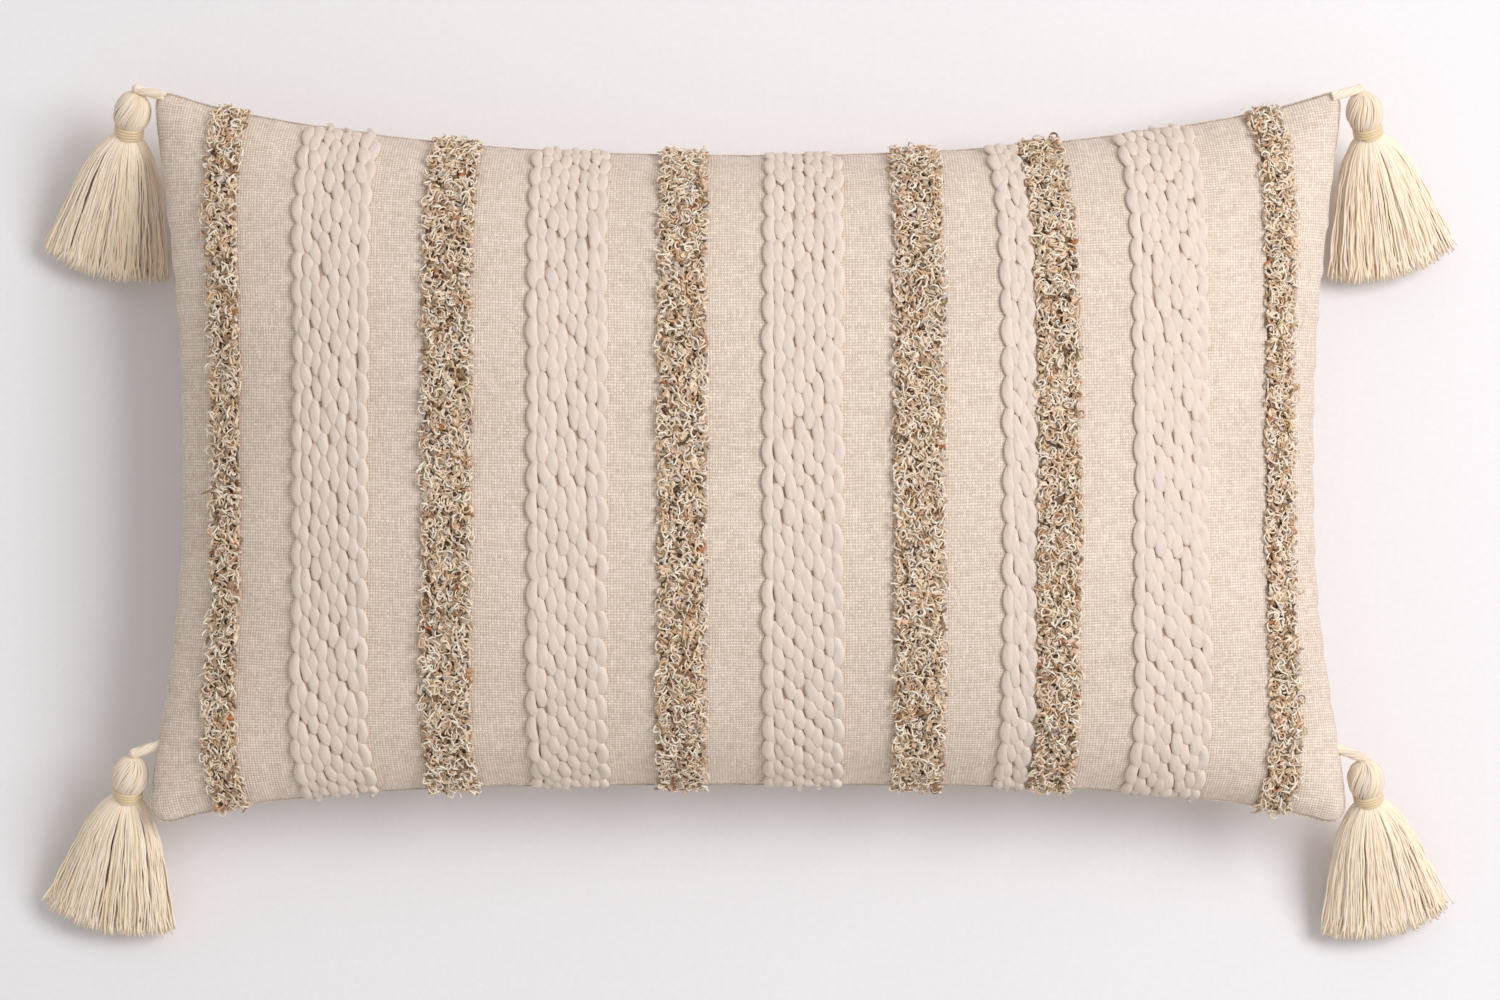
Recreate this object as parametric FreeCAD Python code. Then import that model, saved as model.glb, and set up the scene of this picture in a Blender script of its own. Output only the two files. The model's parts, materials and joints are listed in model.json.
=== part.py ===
import FreeCAD, Part
import math
import os

from FreeCAD import Vector

# A 12 x 20 inch lumbar throw pillow lying on its back, in millimetres.
# +X runs along its length, +Y across it, +Z up out of its decorated front.
# The origin is the middle of the flat patch that it lies on.

# ---- the stuffed cover: outline of the seam, and how far it swells ----
WAIST_HALF_LENGTH = 236.0    # centre to the side seam, half way up the side
WAIST_HALF_WIDTH = 132.0     # centre to the long seams, half way along them
TOP_CORNER_FLARE = 12.5      # how much further out the corners stand than the waist
BOTTOM_CORNER_FLARE = 15.5
TOP_CORNER_RISE = 25.5
BOTTOM_CORNER_DROP = 16.0
TOP_EDGE_POWER = 2.3         # how late the long seams turn towards their corners
BOTTOM_EDGE_POWER = 3.6
SEAM_Z = 50.0                # the seam lies in one plane
FRONT_CROWN = 62.0           # the front swells this far above the seam
BACK_CROWN = 54.0            # and the back this far below it, before the floor flattens it
LENGTH_POWER = 2.6
ROUNDNESS = 0.55
POLES_LONG = 25
POLES_WIDE = 17

# ---- layers, counted inwards from the cover's outer face ----
COVER_CLOTH = 0.8
LAYER_GAP = 0.4
INSERT_CLOTH = 0.5
SEAM_GAP = 0.4               # the sewing thread lies in this gap between the panels
THREAD_PROUD = 0.2
THREAD_DEPTH = 0.5

# ---- trims on the front ----
WIDE_BRAID_CENTRES = (-170.4, -74.0, 23.1, 171.1)
NARROW_BRAID_CENTRE = 107.0
LOOP_CENTRES = (-216.3, -122.5, -27.3, 70.0, 124.6, 217.9)
WIDE_BRAID_WIDTH = 33.0
NARROW_BRAID_WIDTH = 13.0
LOOP_WIDTH = 19.5
BRAID_HEIGHT = 3.6
LOOP_HEIGHT = 4.2
TRIM_GAP = 0.1
TRIM_ABOVE_SEAM = 6.0

# ---- zip in the bottom seam ----
SLOT_HALF_LENGTH = 154.0
SLOT_HALF_HEIGHT = 4.0
TAPE_FACE_Y = -126.5         # outer face of both tapes
TAPE_THICKNESS = 0.5
TAPE_HALF_LENGTH = 152.0
TAPE_INNER_EDGE = 0.6        # distance from the seam plane
TAPE_OUTER_EDGE = 10.5
COIL_HALF_LENGTH = 146.0
COIL_THICKNESS = 1.9
COIL_INNER_EDGE = 0.4
COIL_OUTER_EDGE = 2.2
STOP_LENGTH = 2.0
STOP_THICKNESS = 2.1
SLIDER_X = 140.0             # closed
SLIDER_LENGTH = 9.0
SLIDER_HALF_HEIGHT = 3.4
SLIDER_PLATE = 1.0
SLIDER_CLEARANCE = 0.3
POST_LENGTH = 1.5
POST_THICKNESS = 0.6
LUG_LENGTH = 3.2
LUG_HALF_HEIGHT = 0.8
LUG_RISE = 1.7
PIN_RADIUS = 0.45
PIN_HOLE_RADIUS = 0.6
PIN_RISE = 0.9               # pin centre above the slider's outer plate
PULL_ARM_LENGTH = 5.0
PULL_ARM_INNER = 1.1
PULL_ARM_OUTER = 1.9
PULL_LENGTH = 20.0
PULL_HALF_WIDTH = 2.4
PULL_HALF_THICKNESS = 0.5
PULL_HOLE_RADIUS = 1.1
ZIP_ROOM = 10.0              # the insert stands back this far from the bottom seam

# ---- tassels ----
TASSEL_TILT = 28.5           # degrees below level, down to the floor
HEAD_LENGTH = 17.5
HEAD_DIAMETER = 15.5
NECK_RADIUS = 5.5
BINDING_LENGTH = 4.8
BINDING_THICKNESS = 0.65
TASSEL_LENGTH = 90.4         # top of the head to the ends of the skirt
SKIRT_SECTIONS = (           # share of the skirt's length, half width, half thickness
    (0.00, 6.0, 5.8),
    (0.12, 8.0, 6.6),
    (0.40, 14.5, 7.4),
    (0.75, 22.0, 6.6),
    (1.00, 26.0, 5.5),
)
SKIRT_OVERLAP = 1.0          # the neck reaches this far into the skirt
CORD_RADIUS = 1.0
CORD_CLEARANCE = 0.3
PIVOT_RISE = CORD_RADIUS + CORD_CLEARANCE   # the pivot stands this far off the head
BOX_MARGIN = 400.0           # cutting blocks reach past everything


def block(x0, x1, y0, y1, z0, z1):
    """A box between two corners."""
    return Part.makeBox(x1 - x0, y1 - y0, z1 - z0, Vector(x0, y0, z0))


def slab(z0, z1):
    """Everything between two heights."""
    return block(-BOX_MARGIN, BOX_MARGIN, -BOX_MARGIN, BOX_MARGIN, z0, z1)


def save(shape, node):
    shape.exportStep("parts/" + node + ".step")


# ---------------------------------------------------------------- stuffed forms


def corner_share(v):
    """0 at the waist of a side seam, 1 at its corners, in an S curve between."""
    s = abs(v) ** 1.4
    return s * s * (3 - 2 * s)


def plan_point(u, v, inset, room):
    """Where the cloth's point (u, v), each from -1 to 1, lies in plan.

    Room shortens the form at the bottom seam only, within the same side seams.
    """
    if v > 0:
        flare = TOP_CORNER_FLARE
        half_width = WAIST_HALF_WIDTH + TOP_CORNER_RISE * abs(u) ** TOP_EDGE_POWER
    else:
        flare = BOTTOM_CORNER_FLARE
        half_width = WAIST_HALF_WIDTH + BOTTOM_CORNER_DROP * abs(u) ** BOTTOM_EDGE_POWER
        v *= 1 - room / half_width
    half_length = WAIST_HALF_LENGTH + flare * corner_share(v) - inset
    return u * half_length, v * (half_width - inset)


def swell(u, v):
    """Height above the seam as a share of the crown: 1 in the middle, 0 on the seam."""
    return ((1 - abs(u) ** LENGTH_POWER) * (1 - v * v)) ** ROUNDNESS


def clamped_mults(poles):
    """Knot multiplicities of a cubic that ends on its first and last poles."""
    return [4] + [1] * (poles - 4) + [4]


def clamped_knots(poles):
    return [float(k) for k in range(poles - 2)]


def swollen_face(side, inset, room, seam_z):
    """The cloth of one panel, from its seam up to the front's crown or down to the back's."""
    crown = FRONT_CROWN - inset if side > 0 else inset - BACK_CROWN
    poles = []
    for i in range(POLES_LONG):
        u = math.sin(math.pi * (i / (POLES_LONG - 1) - 0.5))
        row = []
        for j in range(POLES_WIDE):
            v = math.sin(math.pi * (j / (POLES_WIDE - 1) - 0.5))
            x, y = plan_point(u, v, inset, room)
            on_seam = i in (0, POLES_LONG - 1) or j in (0, POLES_WIDE - 1)
            rise = 0.0 if on_seam else crown * swell(u, v)
            row.append(Vector(x, y, seam_z + rise))
        poles.append(row)
    surface = Part.BSplineSurface()
    surface.buildFromPolesMultsKnots(
        poles,
        clamped_mults(POLES_LONG), clamped_mults(POLES_WIDE),
        clamped_knots(POLES_LONG), clamped_knots(POLES_WIDE),
        False, False, 3, 3,
    )
    return surface.toShape()


def seam_face(inset, room, seam_z):
    """The flat face inside the seam's outline."""
    rim = Part.Wire(Part.__sortEdges__(swollen_face(1, inset, room, seam_z).Edges))
    return Part.Face(rim)


def half_form(side, inset, room=0.0, gap=SEAM_GAP / 2):
    """Front (side 1) or back (side -1) half of the pillow, this far inside its outer face.

    The back half is flat where it lies on the floor.
    """
    seam_z = SEAM_Z + side * gap
    faces = [swollen_face(side, inset, room, seam_z), seam_face(inset, room, seam_z)]
    shell = Part.makeShell(faces)
    shell.sewShape()
    form = Part.makeSolid(shell)
    if form.Volume < 0:
        form.reverse()
    return form if side > 0 else form.common(slab(inset, BOX_MARGIN))


def panel(side, inset, thickness, room=0.0):
    """One panel of cloth that follows the pillow, this far inside its outer face."""
    return half_form(side, inset, room).cut(half_form(side, inset + thickness, room))


def seam_thread(inset, depth, room=0.0):
    """The sewing thread between two panels, as one band round the seam."""
    low = SEAM_Z - SEAM_GAP / 2
    rise = Vector(0, 0, SEAM_GAP)
    outside = seam_face(inset, room, low).extrude(rise)
    return outside.cut(seam_face(inset + depth, room, low).extrude(rise))


# ---------------------------------------------------------------- cover and insert


def zip_slot(reach):
    """The gap in the bottom seam that the zip closes, reaching this far each side of the seam."""
    return block(
        -SLOT_HALF_LENGTH, SLOT_HALF_LENGTH,
        -BOX_MARGIN, TAPE_FACE_Y - LAYER_GAP / 4,
        SEAM_Z - reach, SEAM_Z + reach,
    )


def make_cover():
    slot = zip_slot(SLOT_HALF_HEIGHT)
    hem_slot = zip_slot(SLOT_HALF_HEIGHT + COVER_CLOTH)
    for side, node in ((1, "cover_front"), (-1, "cover_back")):
        hem = half_form(side, 0.0).common(hem_slot).cut(slot)
        cloth = panel(side, 0.0, COVER_CLOTH).cut(slot)
        save(cloth.fuse(hem), node)
    thread = seam_thread(-THREAD_PROUD, THREAD_PROUD + THREAD_DEPTH)
    save(thread.cut(slot), "cover_seam_thread")


def make_insert():
    face = COVER_CLOTH + LAYER_GAP
    save(panel(1, face, INSERT_CLOTH, ZIP_ROOM), "insert_front")
    save(panel(-1, face, INSERT_CLOTH, ZIP_ROOM), "insert_back")
    save(seam_thread(face, INSERT_CLOTH, ZIP_ROOM), "insert_seam_thread")
    inside = face + INSERT_CLOTH + LAYER_GAP / 2
    front = half_form(1, inside, ZIP_ROOM, 0.0)
    back = half_form(-1, inside, ZIP_ROOM, 0.0)
    save(front.fuse(back), "insert_fill")


# ---------------------------------------------------------------- trims


def make_trims():
    """Braids and loop stripes run across the front from seam to seam."""
    braid_sheet = panel(1, -BRAID_HEIGHT, BRAID_HEIGHT - TRIM_GAP)
    loop_sheet = panel(1, -LOOP_HEIGHT, LOOP_HEIGHT - TRIM_GAP)
    foot = SEAM_Z + TRIM_ABOVE_SEAM

    def strip(sheet, centre, width):
        x0 = centre - width / 2
        return sheet.common(block(x0, x0 + width, -BOX_MARGIN, BOX_MARGIN, foot, BOX_MARGIN))

    for number, centre in enumerate(WIDE_BRAID_CENTRES, 1):
        save(strip(braid_sheet, centre, WIDE_BRAID_WIDTH), "braid_wide_%d" % number)
    save(strip(braid_sheet, NARROW_BRAID_CENTRE, NARROW_BRAID_WIDTH), "braid_narrow")
    for number, centre in enumerate(LOOP_CENTRES, 1):
        save(strip(loop_sheet, centre, LOOP_WIDTH), "loop_stripe_%d" % number)


# ---------------------------------------------------------------- zip


def mirrored_in_seam(shape):
    return shape.mirror(Vector(0, 0, SEAM_Z), Vector(0, 0, 1))


def make_zip_chain():
    """Two tapes, each with its half of the coil, and the stops at both ends."""
    tape = block(
        -TAPE_HALF_LENGTH, TAPE_HALF_LENGTH,
        TAPE_FACE_Y, TAPE_FACE_Y + TAPE_THICKNESS,
        SEAM_Z + TAPE_INNER_EDGE, SEAM_Z + TAPE_OUTER_EDGE,
    )
    coil = block(
        -COIL_HALF_LENGTH, COIL_HALF_LENGTH,
        TAPE_FACE_Y - COIL_THICKNESS, TAPE_FACE_Y,
        SEAM_Z + COIL_INNER_EDGE, SEAM_Z + COIL_OUTER_EDGE,
    )
    save(tape, "zip_tape_front")
    save(mirrored_in_seam(tape), "zip_tape_back")
    save(coil, "zip_coil_front")
    save(mirrored_in_seam(coil), "zip_coil_back")

    stop_y = (TAPE_FACE_Y - STOP_THICKNESS, TAPE_FACE_Y)
    top_stop = block(
        COIL_HALF_LENGTH, COIL_HALF_LENGTH + STOP_LENGTH, *stop_y,
        SEAM_Z + COIL_INNER_EDGE, SEAM_Z + COIL_OUTER_EDGE,
    )
    save(Part.makeCompound([top_stop, mirrored_in_seam(top_stop)]), "zip_top_stops")
    bottom_stop = block(
        -COIL_HALF_LENGTH - STOP_LENGTH, -COIL_HALF_LENGTH, *stop_y,
        SEAM_Z - COIL_OUTER_EDGE, SEAM_Z + COIL_OUTER_EDGE,
    )
    save(bottom_stop, "zip_bottom_stop")


def make_zip_slider():
    """Two plates joined by a post between the coils, and the pull's pin through the lug."""
    x0 = SLIDER_X - SLIDER_LENGTH / 2
    x1 = SLIDER_X + SLIDER_LENGTH / 2
    z0 = SEAM_Z - SLIDER_HALF_HEIGHT
    z1 = SEAM_Z + SLIDER_HALF_HEIGHT
    plate_y = TAPE_FACE_Y - COIL_THICKNESS - SLIDER_CLEARANCE
    inner_y = TAPE_FACE_Y + TAPE_THICKNESS + SLIDER_CLEARANCE
    pin_y = plate_y - SLIDER_PLATE - PIN_RISE

    outer_plate = block(x0, x1, plate_y - SLIDER_PLATE, plate_y, z0, z1)
    inner_plate = block(x0, x1, inner_y, inner_y + SLIDER_PLATE, z0, z1)
    post = block(
        SLIDER_X - POST_LENGTH / 2, SLIDER_X + POST_LENGTH / 2, plate_y, inner_y,
        SEAM_Z - POST_THICKNESS / 2, SEAM_Z + POST_THICKNESS / 2,
    )
    flange = block(
        x0, x1, plate_y, TAPE_FACE_Y - SLIDER_CLEARANCE,
        SEAM_Z + COIL_OUTER_EDGE + SLIDER_CLEARANCE, z1,
    )
    lug = block(
        SLIDER_X - LUG_LENGTH / 2, SLIDER_X + LUG_LENGTH / 2,
        plate_y - SLIDER_PLATE - LUG_RISE, plate_y - SLIDER_PLATE,
        SEAM_Z - LUG_HALF_HEIGHT, SEAM_Z + LUG_HALF_HEIGHT,
    )
    up = Vector(0, 0, 1)
    pin_hole = Part.makeCylinder(
        PIN_HOLE_RADIUS, 4 * LUG_HALF_HEIGHT,
        Vector(SLIDER_X, pin_y, SEAM_Z - 2 * LUG_HALF_HEIGHT), up,
    )
    slider = outer_plate.fuse([inner_plate, post, flange, mirrored_in_seam(flange), lug])
    save(slider.cut(pin_hole).removeSplitter(), "zip_slider")

    pin = Part.makeCylinder(
        PIN_RADIUS, 2 * PULL_ARM_OUTER, Vector(SLIDER_X, pin_y, SEAM_Z - PULL_ARM_OUTER), up,
    )
    arm_y = (pin_y - PULL_HALF_THICKNESS, pin_y + PULL_HALF_THICKNESS)
    arm = block(
        SLIDER_X - PULL_ARM_LENGTH, SLIDER_X + PIN_RADIUS, *arm_y,
        SEAM_Z + PULL_ARM_INNER, SEAM_Z + PULL_ARM_OUTER,
    )
    tab = block(
        SLIDER_X - PULL_LENGTH, SLIDER_X - PULL_ARM_LENGTH, *arm_y,
        SEAM_Z - PULL_HALF_WIDTH, SEAM_Z + PULL_HALF_WIDTH,
    )
    eye = Part.makeCylinder(
        PULL_HOLE_RADIUS, 4 * PULL_HALF_THICKNESS,
        Vector(SLIDER_X - PULL_LENGTH + 2 * PULL_HOLE_RADIUS, pin_y - 2 * PULL_HALF_THICKNESS, SEAM_Z),
        Vector(0, 1, 0),
    )
    pull = pin.fuse([arm, mirrored_in_seam(arm), tab]).cut(eye)
    save(pull.removeSplitter(), "zip_pull")


# ---------------------------------------------------------------- tassels


def make_hank():
    """A folded hank of yarn hanging from the origin: round head, bound neck, flared skirt."""
    skirt_top = PIVOT_RISE + HEAD_LENGTH + BINDING_LENGTH
    skirt_end = PIVOT_RISE + TASSEL_LENGTH
    head_radius = HEAD_DIAMETER / 2
    middle = Vector(0, 0, -PIVOT_RISE - HEAD_LENGTH / 2)
    pole = middle + Vector(0, 0, HEAD_LENGTH / 2)
    outline = Part.Ellipse(pole, middle + Vector(head_radius, 0, 0), middle)
    at_neck = math.pi - math.asin(NECK_RADIUS / head_radius)
    side = Part.Arc(outline, 0, at_neck).toShape()
    neck_top = outline.value(at_neck)
    neck_foot = Vector(NECK_RADIUS, 0, -skirt_top - SKIRT_OVERLAP)
    foot = Vector(0, 0, neck_foot.z)
    rim = [
        side,
        Part.makeLine(neck_top, neck_foot),
        Part.makeLine(neck_foot, foot),
        Part.makeLine(foot, pole),
    ]
    head = Part.Face(Part.Wire(rim)).revolve(Vector(0, 0, 0), Vector(0, 0, 1), 360)

    rings = []
    for share, half_width, half_thickness in SKIRT_SECTIONS:
        depth = skirt_top + share * (skirt_end - skirt_top)
        ring = Part.Ellipse(Vector(0, 0, -depth), half_width, half_thickness)
        rings.append(Part.Wire([ring.toShape()]))
    skirt = Part.makeLoft(rings, True, False)
    return head.fuse(skirt)


def make_binding():
    """The band of thread wound round the neck."""
    low = -(PIVOT_RISE + HEAD_LENGTH + BINDING_LENGTH)
    inner = NECK_RADIUS + 0.05
    outside = Part.makeCylinder(inner + BINDING_THICKNESS, BINDING_LENGTH, Vector(0, 0, low))
    bore = Part.makeCylinder(inner, BINDING_LENGTH, Vector(0, 0, low))
    return outside.cut(bore)


def placed_tassel(shape, pivot, yaw):
    """Swing a hanging shape down the floor's way, turn it in plan, and hang it on its pivot."""
    shape = shape.copy()
    shape.rotate(Vector(0, 0, 0), Vector(1, 0, 0), TASSEL_TILT - 90)
    shape.rotate(Vector(0, 0, 0), Vector(0, 0, 1), yaw)
    shape.translate(pivot)
    return shape


def make_cord(start, end):
    """The short cord from the seam to the head, round at both ends."""
    run = end - start
    r = CORD_RADIUS
    first = Part.Arc(Vector(0, 0, -r), Vector(r * math.sin(1), 0, -r * math.cos(1)), Vector(r, 0, 0))
    last = Part.Arc(
        Vector(r, 0, run.Length),
        Vector(r * math.sin(1), 0, run.Length + r * math.cos(1)),
        Vector(0, 0, run.Length + r),
    )
    rim = [
        first.toShape(),
        Part.makeLine(Vector(r, 0, 0), Vector(r, 0, run.Length)),
        last.toShape(),
        Part.makeLine(Vector(0, 0, run.Length + r), Vector(0, 0, -r)),
    ]
    cord = Part.Face(Part.Wire(rim)).revolve(Vector(0, 0, 0), Vector(0, 0, 1), 360)
    cord.Placement = FreeCAD.Placement(start, FreeCAD.Rotation(Vector(0, 0, 1), run))
    return cord


def tassel_pivot(x, y):
    """A tassel's pivot, high enough for its skirt's ends to just rest on the floor."""
    tilt = math.radians(TASSEL_TILT)
    end_half_thickness = SKIRT_SECTIONS[-1][2]
    z = (PIVOT_RISE + TASSEL_LENGTH) * math.sin(tilt) + end_half_thickness * math.cos(tilt)
    return Vector(x, y, z)


# name: where the cord leaves the seam, where the tassel hangs from it, and its turn in plan
TASSELS = {
    "top_left": ((-250.1, 158.2), (-257.2, 160.2), -14.0),
    "top_right": ((250.1, 158.2), (257.2, 160.2), 15.0),
    "bottom_left": ((-250.4, -116.5), (-258.4, -119.3), -12.0),
    "bottom_right": ((250.4, -118.0), (258.4, -120.9), 11.5),
}


def make_tassels():
    hank = make_hank()
    binding = make_binding()
    for name, (exit_xy, pivot_xy, yaw) in TASSELS.items():
        pivot = tassel_pivot(*pivot_xy)
        start = Vector(exit_xy[0], exit_xy[1], SEAM_Z)
        save(make_cord(start, pivot), "tassel_cord_" + name)
        save(placed_tassel(hank, pivot, yaw), "tassel_hank_" + name)
        save(placed_tassel(binding, pivot, yaw), "tassel_binding_" + name)


make_cover()
make_insert()
make_trims()
make_zip_chain()
make_zip_slider()
make_tassels()
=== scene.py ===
import json
import math

import bpy
import numpy as np
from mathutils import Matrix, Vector


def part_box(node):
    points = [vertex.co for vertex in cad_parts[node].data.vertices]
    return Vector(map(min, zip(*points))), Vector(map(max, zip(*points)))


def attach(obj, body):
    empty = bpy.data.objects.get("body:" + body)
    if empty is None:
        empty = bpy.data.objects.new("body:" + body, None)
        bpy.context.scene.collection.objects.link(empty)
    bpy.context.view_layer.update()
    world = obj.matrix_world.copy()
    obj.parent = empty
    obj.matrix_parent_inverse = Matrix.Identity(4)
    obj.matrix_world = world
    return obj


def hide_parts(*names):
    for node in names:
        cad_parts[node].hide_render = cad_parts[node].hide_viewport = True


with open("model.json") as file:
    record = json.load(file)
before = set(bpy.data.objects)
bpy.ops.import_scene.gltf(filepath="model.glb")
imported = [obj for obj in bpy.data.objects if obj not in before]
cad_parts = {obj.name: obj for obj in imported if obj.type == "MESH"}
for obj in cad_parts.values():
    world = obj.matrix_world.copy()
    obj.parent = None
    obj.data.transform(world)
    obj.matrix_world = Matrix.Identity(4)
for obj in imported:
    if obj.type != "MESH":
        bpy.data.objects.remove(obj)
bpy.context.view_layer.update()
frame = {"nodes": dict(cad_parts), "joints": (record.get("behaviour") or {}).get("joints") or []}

MM = 0.001               # everything below is worked out in millimetres and built in metres

# ---- the cover's flat cloth, and the outline of its seam once stuffed ----
HALF_S = 254.0           # half the flat panel's length: s runs along the pillow
HALF_T = 152.5           # half its width: t runs across it
GRID_S = 84              # cells of the simulated cloth
GRID_T = 50
REFINE = 3               # finer points between the simulated ones, for the pieces' own grids
WAIST_HALF_LENGTH = 236.0
WAIST_HALF_WIDTH = 132.0
TOP_CORNER_FLARE = 12.5  # how much further than the waist the corners reach, along and across
BOTTOM_CORNER_FLARE = 15.5
TOP_CORNER_RISE = 25.5
BOTTOM_CORNER_DROP = 16.0
TOP_EDGE_POWER = 2.3
BOTTOM_EDGE_POWER = 3.6
SEAM_Z = 50.0
FRONT_CROWN = 62.0       # how far each panel swells from the seam's plane, and its profile
BACK_CROWN = 54.0
LENGTH_POWER = 2.6
ROUNDNESS = 0.55
CLOTH_EASE = 1.012       # the cloth gives this much under the filling's push
CLOTH_THICKNESS = 0.8
SIM_FRAMES = 20
INSERT_SHRINK = (0.984, 0.968)       # of its length and width
INSERT_OUTER = 1.4       # the insert's cloth lies between these distances below the cover's face
INSERT_INNER = 1.9
FILL_DEPTH = 3.0         # how far the filling lies below the cover's face
FILL_SHRINK = (0.985, 0.95, 1.0)
FILL_LOWEST = 2.6
FILL_SEW = 4.0           # its two halves' edges are joined where they are nearer than this
CORNER_CELLS = 8         # points of the fine cloth that a rounded corner reaches over
CORNER_REACH = 42.0      # how far from a corner its drawn-out ear begins
EAR_ALONG = 1.0          # how far the ears are drawn out: along, at the top corners only, and across
EAR_ACROSS = 3.2
BOTTOM_CORNER_RADIUS = 12.0
TOP_CORNER_RADIUS = 9.0
SIDE_BULGE = 3.4         # how far the side seams' cloth bellies out, and where it is fullest
SIDE_BULGE_REACH = 9.0
SIDE_TUCK = 1.4          # how far the stitches pull the very edge back in
MAX_SHIFT = 9.0          # how far the simulation may move a point

# ---- trims: where each lies along the flat cloth, and how far it strays at its top and bottom end ----
WIDE_BRAIDS = (
    (-171.7, 0.0, 0.0),
    (-73.2, -1.6, -1.2),
    (22.2, 1.2, 0.8),
    (174.3, -2.9, -0.8),
)
NARROW_BRAID = (110.4, -3.3, -0.8)
LOOP_STRIPES = (
    (-219.8, 0.0, 2.5),
    (-122.5, -0.8, -1.2),
    (-26.6, -0.4, -1.2),
    (69.4, 0.8, 1.2),
    (126.6, -3.3, -0.4),
    (224.4, -5.5, -3.4),
)
LOOP_WIDTHS = (15.0, 21.5, 20.5, 21.5, 18.5, 15.0)
YARNS_PER_MM = 100       # of a loop stripe's width, of each kind
BRAID_GROUND_SHADE = (0.78, 0.72, 0.66)    # how much darker the ground strip under the stitches is tinted: painted shade in the pits between stitches
STITCH_PITCH = 9.2       # braids: a column's stitches, their half length, and points along each
STITCH_HALF = 5.2
STITCH_STEPS = 15
STITCH_FLATNESS = 0.66

# ---- zip ----
ZIP_HALF_LENGTH = 153.0
LIP_HALF_HEIGHT = 4.2

TASSEL_TILT = 28.5       # degrees below level
CORNERS = ("top_left", "top_right", "bottom_left", "bottom_right")


# ======== mesh helpers


def new_mesh(name, verts, face_sets, uv=None, tint=None, smooth=True):
    """An object from points in millimetres and arrays of faces, each array with one size of face.

    uv has one row per face corner, in the order of the faces, and tint one colour per point.
    """
    mesh = bpy.data.meshes.new(name)
    loops = np.concatenate([f.ravel() for f in face_sets]).astype(np.int32)
    totals = np.concatenate([np.full(len(f), f.shape[1]) for f in face_sets]).astype(np.int32)
    starts = np.concatenate([[0], np.cumsum(totals)[:-1]]).astype(np.int32)
    mesh.vertices.add(len(verts))
    mesh.vertices.foreach_set("co", (np.asarray(verts) * MM).astype(np.float32).ravel())
    mesh.loops.add(len(loops))
    mesh.loops.foreach_set("vertex_index", loops)
    mesh.polygons.add(len(totals))
    mesh.polygons.foreach_set("loop_start", starts)
    mesh.polygons.foreach_set("loop_total", totals)
    mesh.polygons.foreach_set("use_smooth", np.full(len(totals), smooth))
    mesh.update(calc_edges=True)
    if uv is not None:
        layer = mesh.uv_layers.new(name="cloth")
        layer.data.foreach_set("uv", np.asarray(uv, np.float32).ravel())
    if tint is not None:
        colours = mesh.color_attributes.new("tint", "FLOAT_COLOR", "POINT")
        rgba = np.ones((len(verts), 4), np.float32)
        rgba[:, :3] = tint
        colours.data.foreach_set("color", rgba.ravel())
    mesh.validate()
    piece = bpy.data.objects.new(name, mesh)
    bpy.context.scene.collection.objects.link(piece)
    return piece


def unit(v):
    return v / np.maximum(np.linalg.norm(v, axis=-1, keepdims=True), 1e-9)


def grid_faces(rows, columns, wrap=False):
    """Quads of a grid of points numbered row by row. With wrap, the columns close on themselves."""
    r = np.arange(rows - 1)[:, None]
    c = np.arange(columns if wrap else columns - 1)[None, :]
    n = (c + 1) % columns
    a, b = r * columns + c, r * columns + n
    d, e = (r + 1) * columns + n, (r + 1) * columns + c
    return np.stack([a, b, d, e], -1).reshape(-1, 4)


def ring_round(grid):
    """What lies all round a grid's edge, in order."""
    return np.concatenate([grid[:, 0], grid[-1, 1:], grid[-2::-1, -1], grid[0, -2:0:-1]])


def closed_sheet(name, top, under, facing, flat, tint=None):
    """A sheet between two grids of points and a wall round them. flat is each point's place in the cloth."""
    rows, columns = top.shape[:2]
    count = rows * columns
    cells = grid_faces(rows, columns)
    edge = ring_round(np.arange(count).reshape(rows, columns))
    following = np.roll(edge, -1)
    wall = np.stack([edge, following, following + count, edge + count], -1)
    if facing > 0:
        cells, wall = cells[:, ::-1], wall[:, ::-1]
    faces = np.concatenate([cells, cells[:, ::-1] + count, wall])
    verts = np.concatenate([top.reshape(-1, 3), under.reshape(-1, 3)])
    flat = flat.reshape(-1, 2)
    uv = np.concatenate([flat, flat])[faces.ravel()]
    return new_mesh(name, verts, [faces], uv, None if tint is None else np.tile(tint, (2 * count, 1)))


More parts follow.
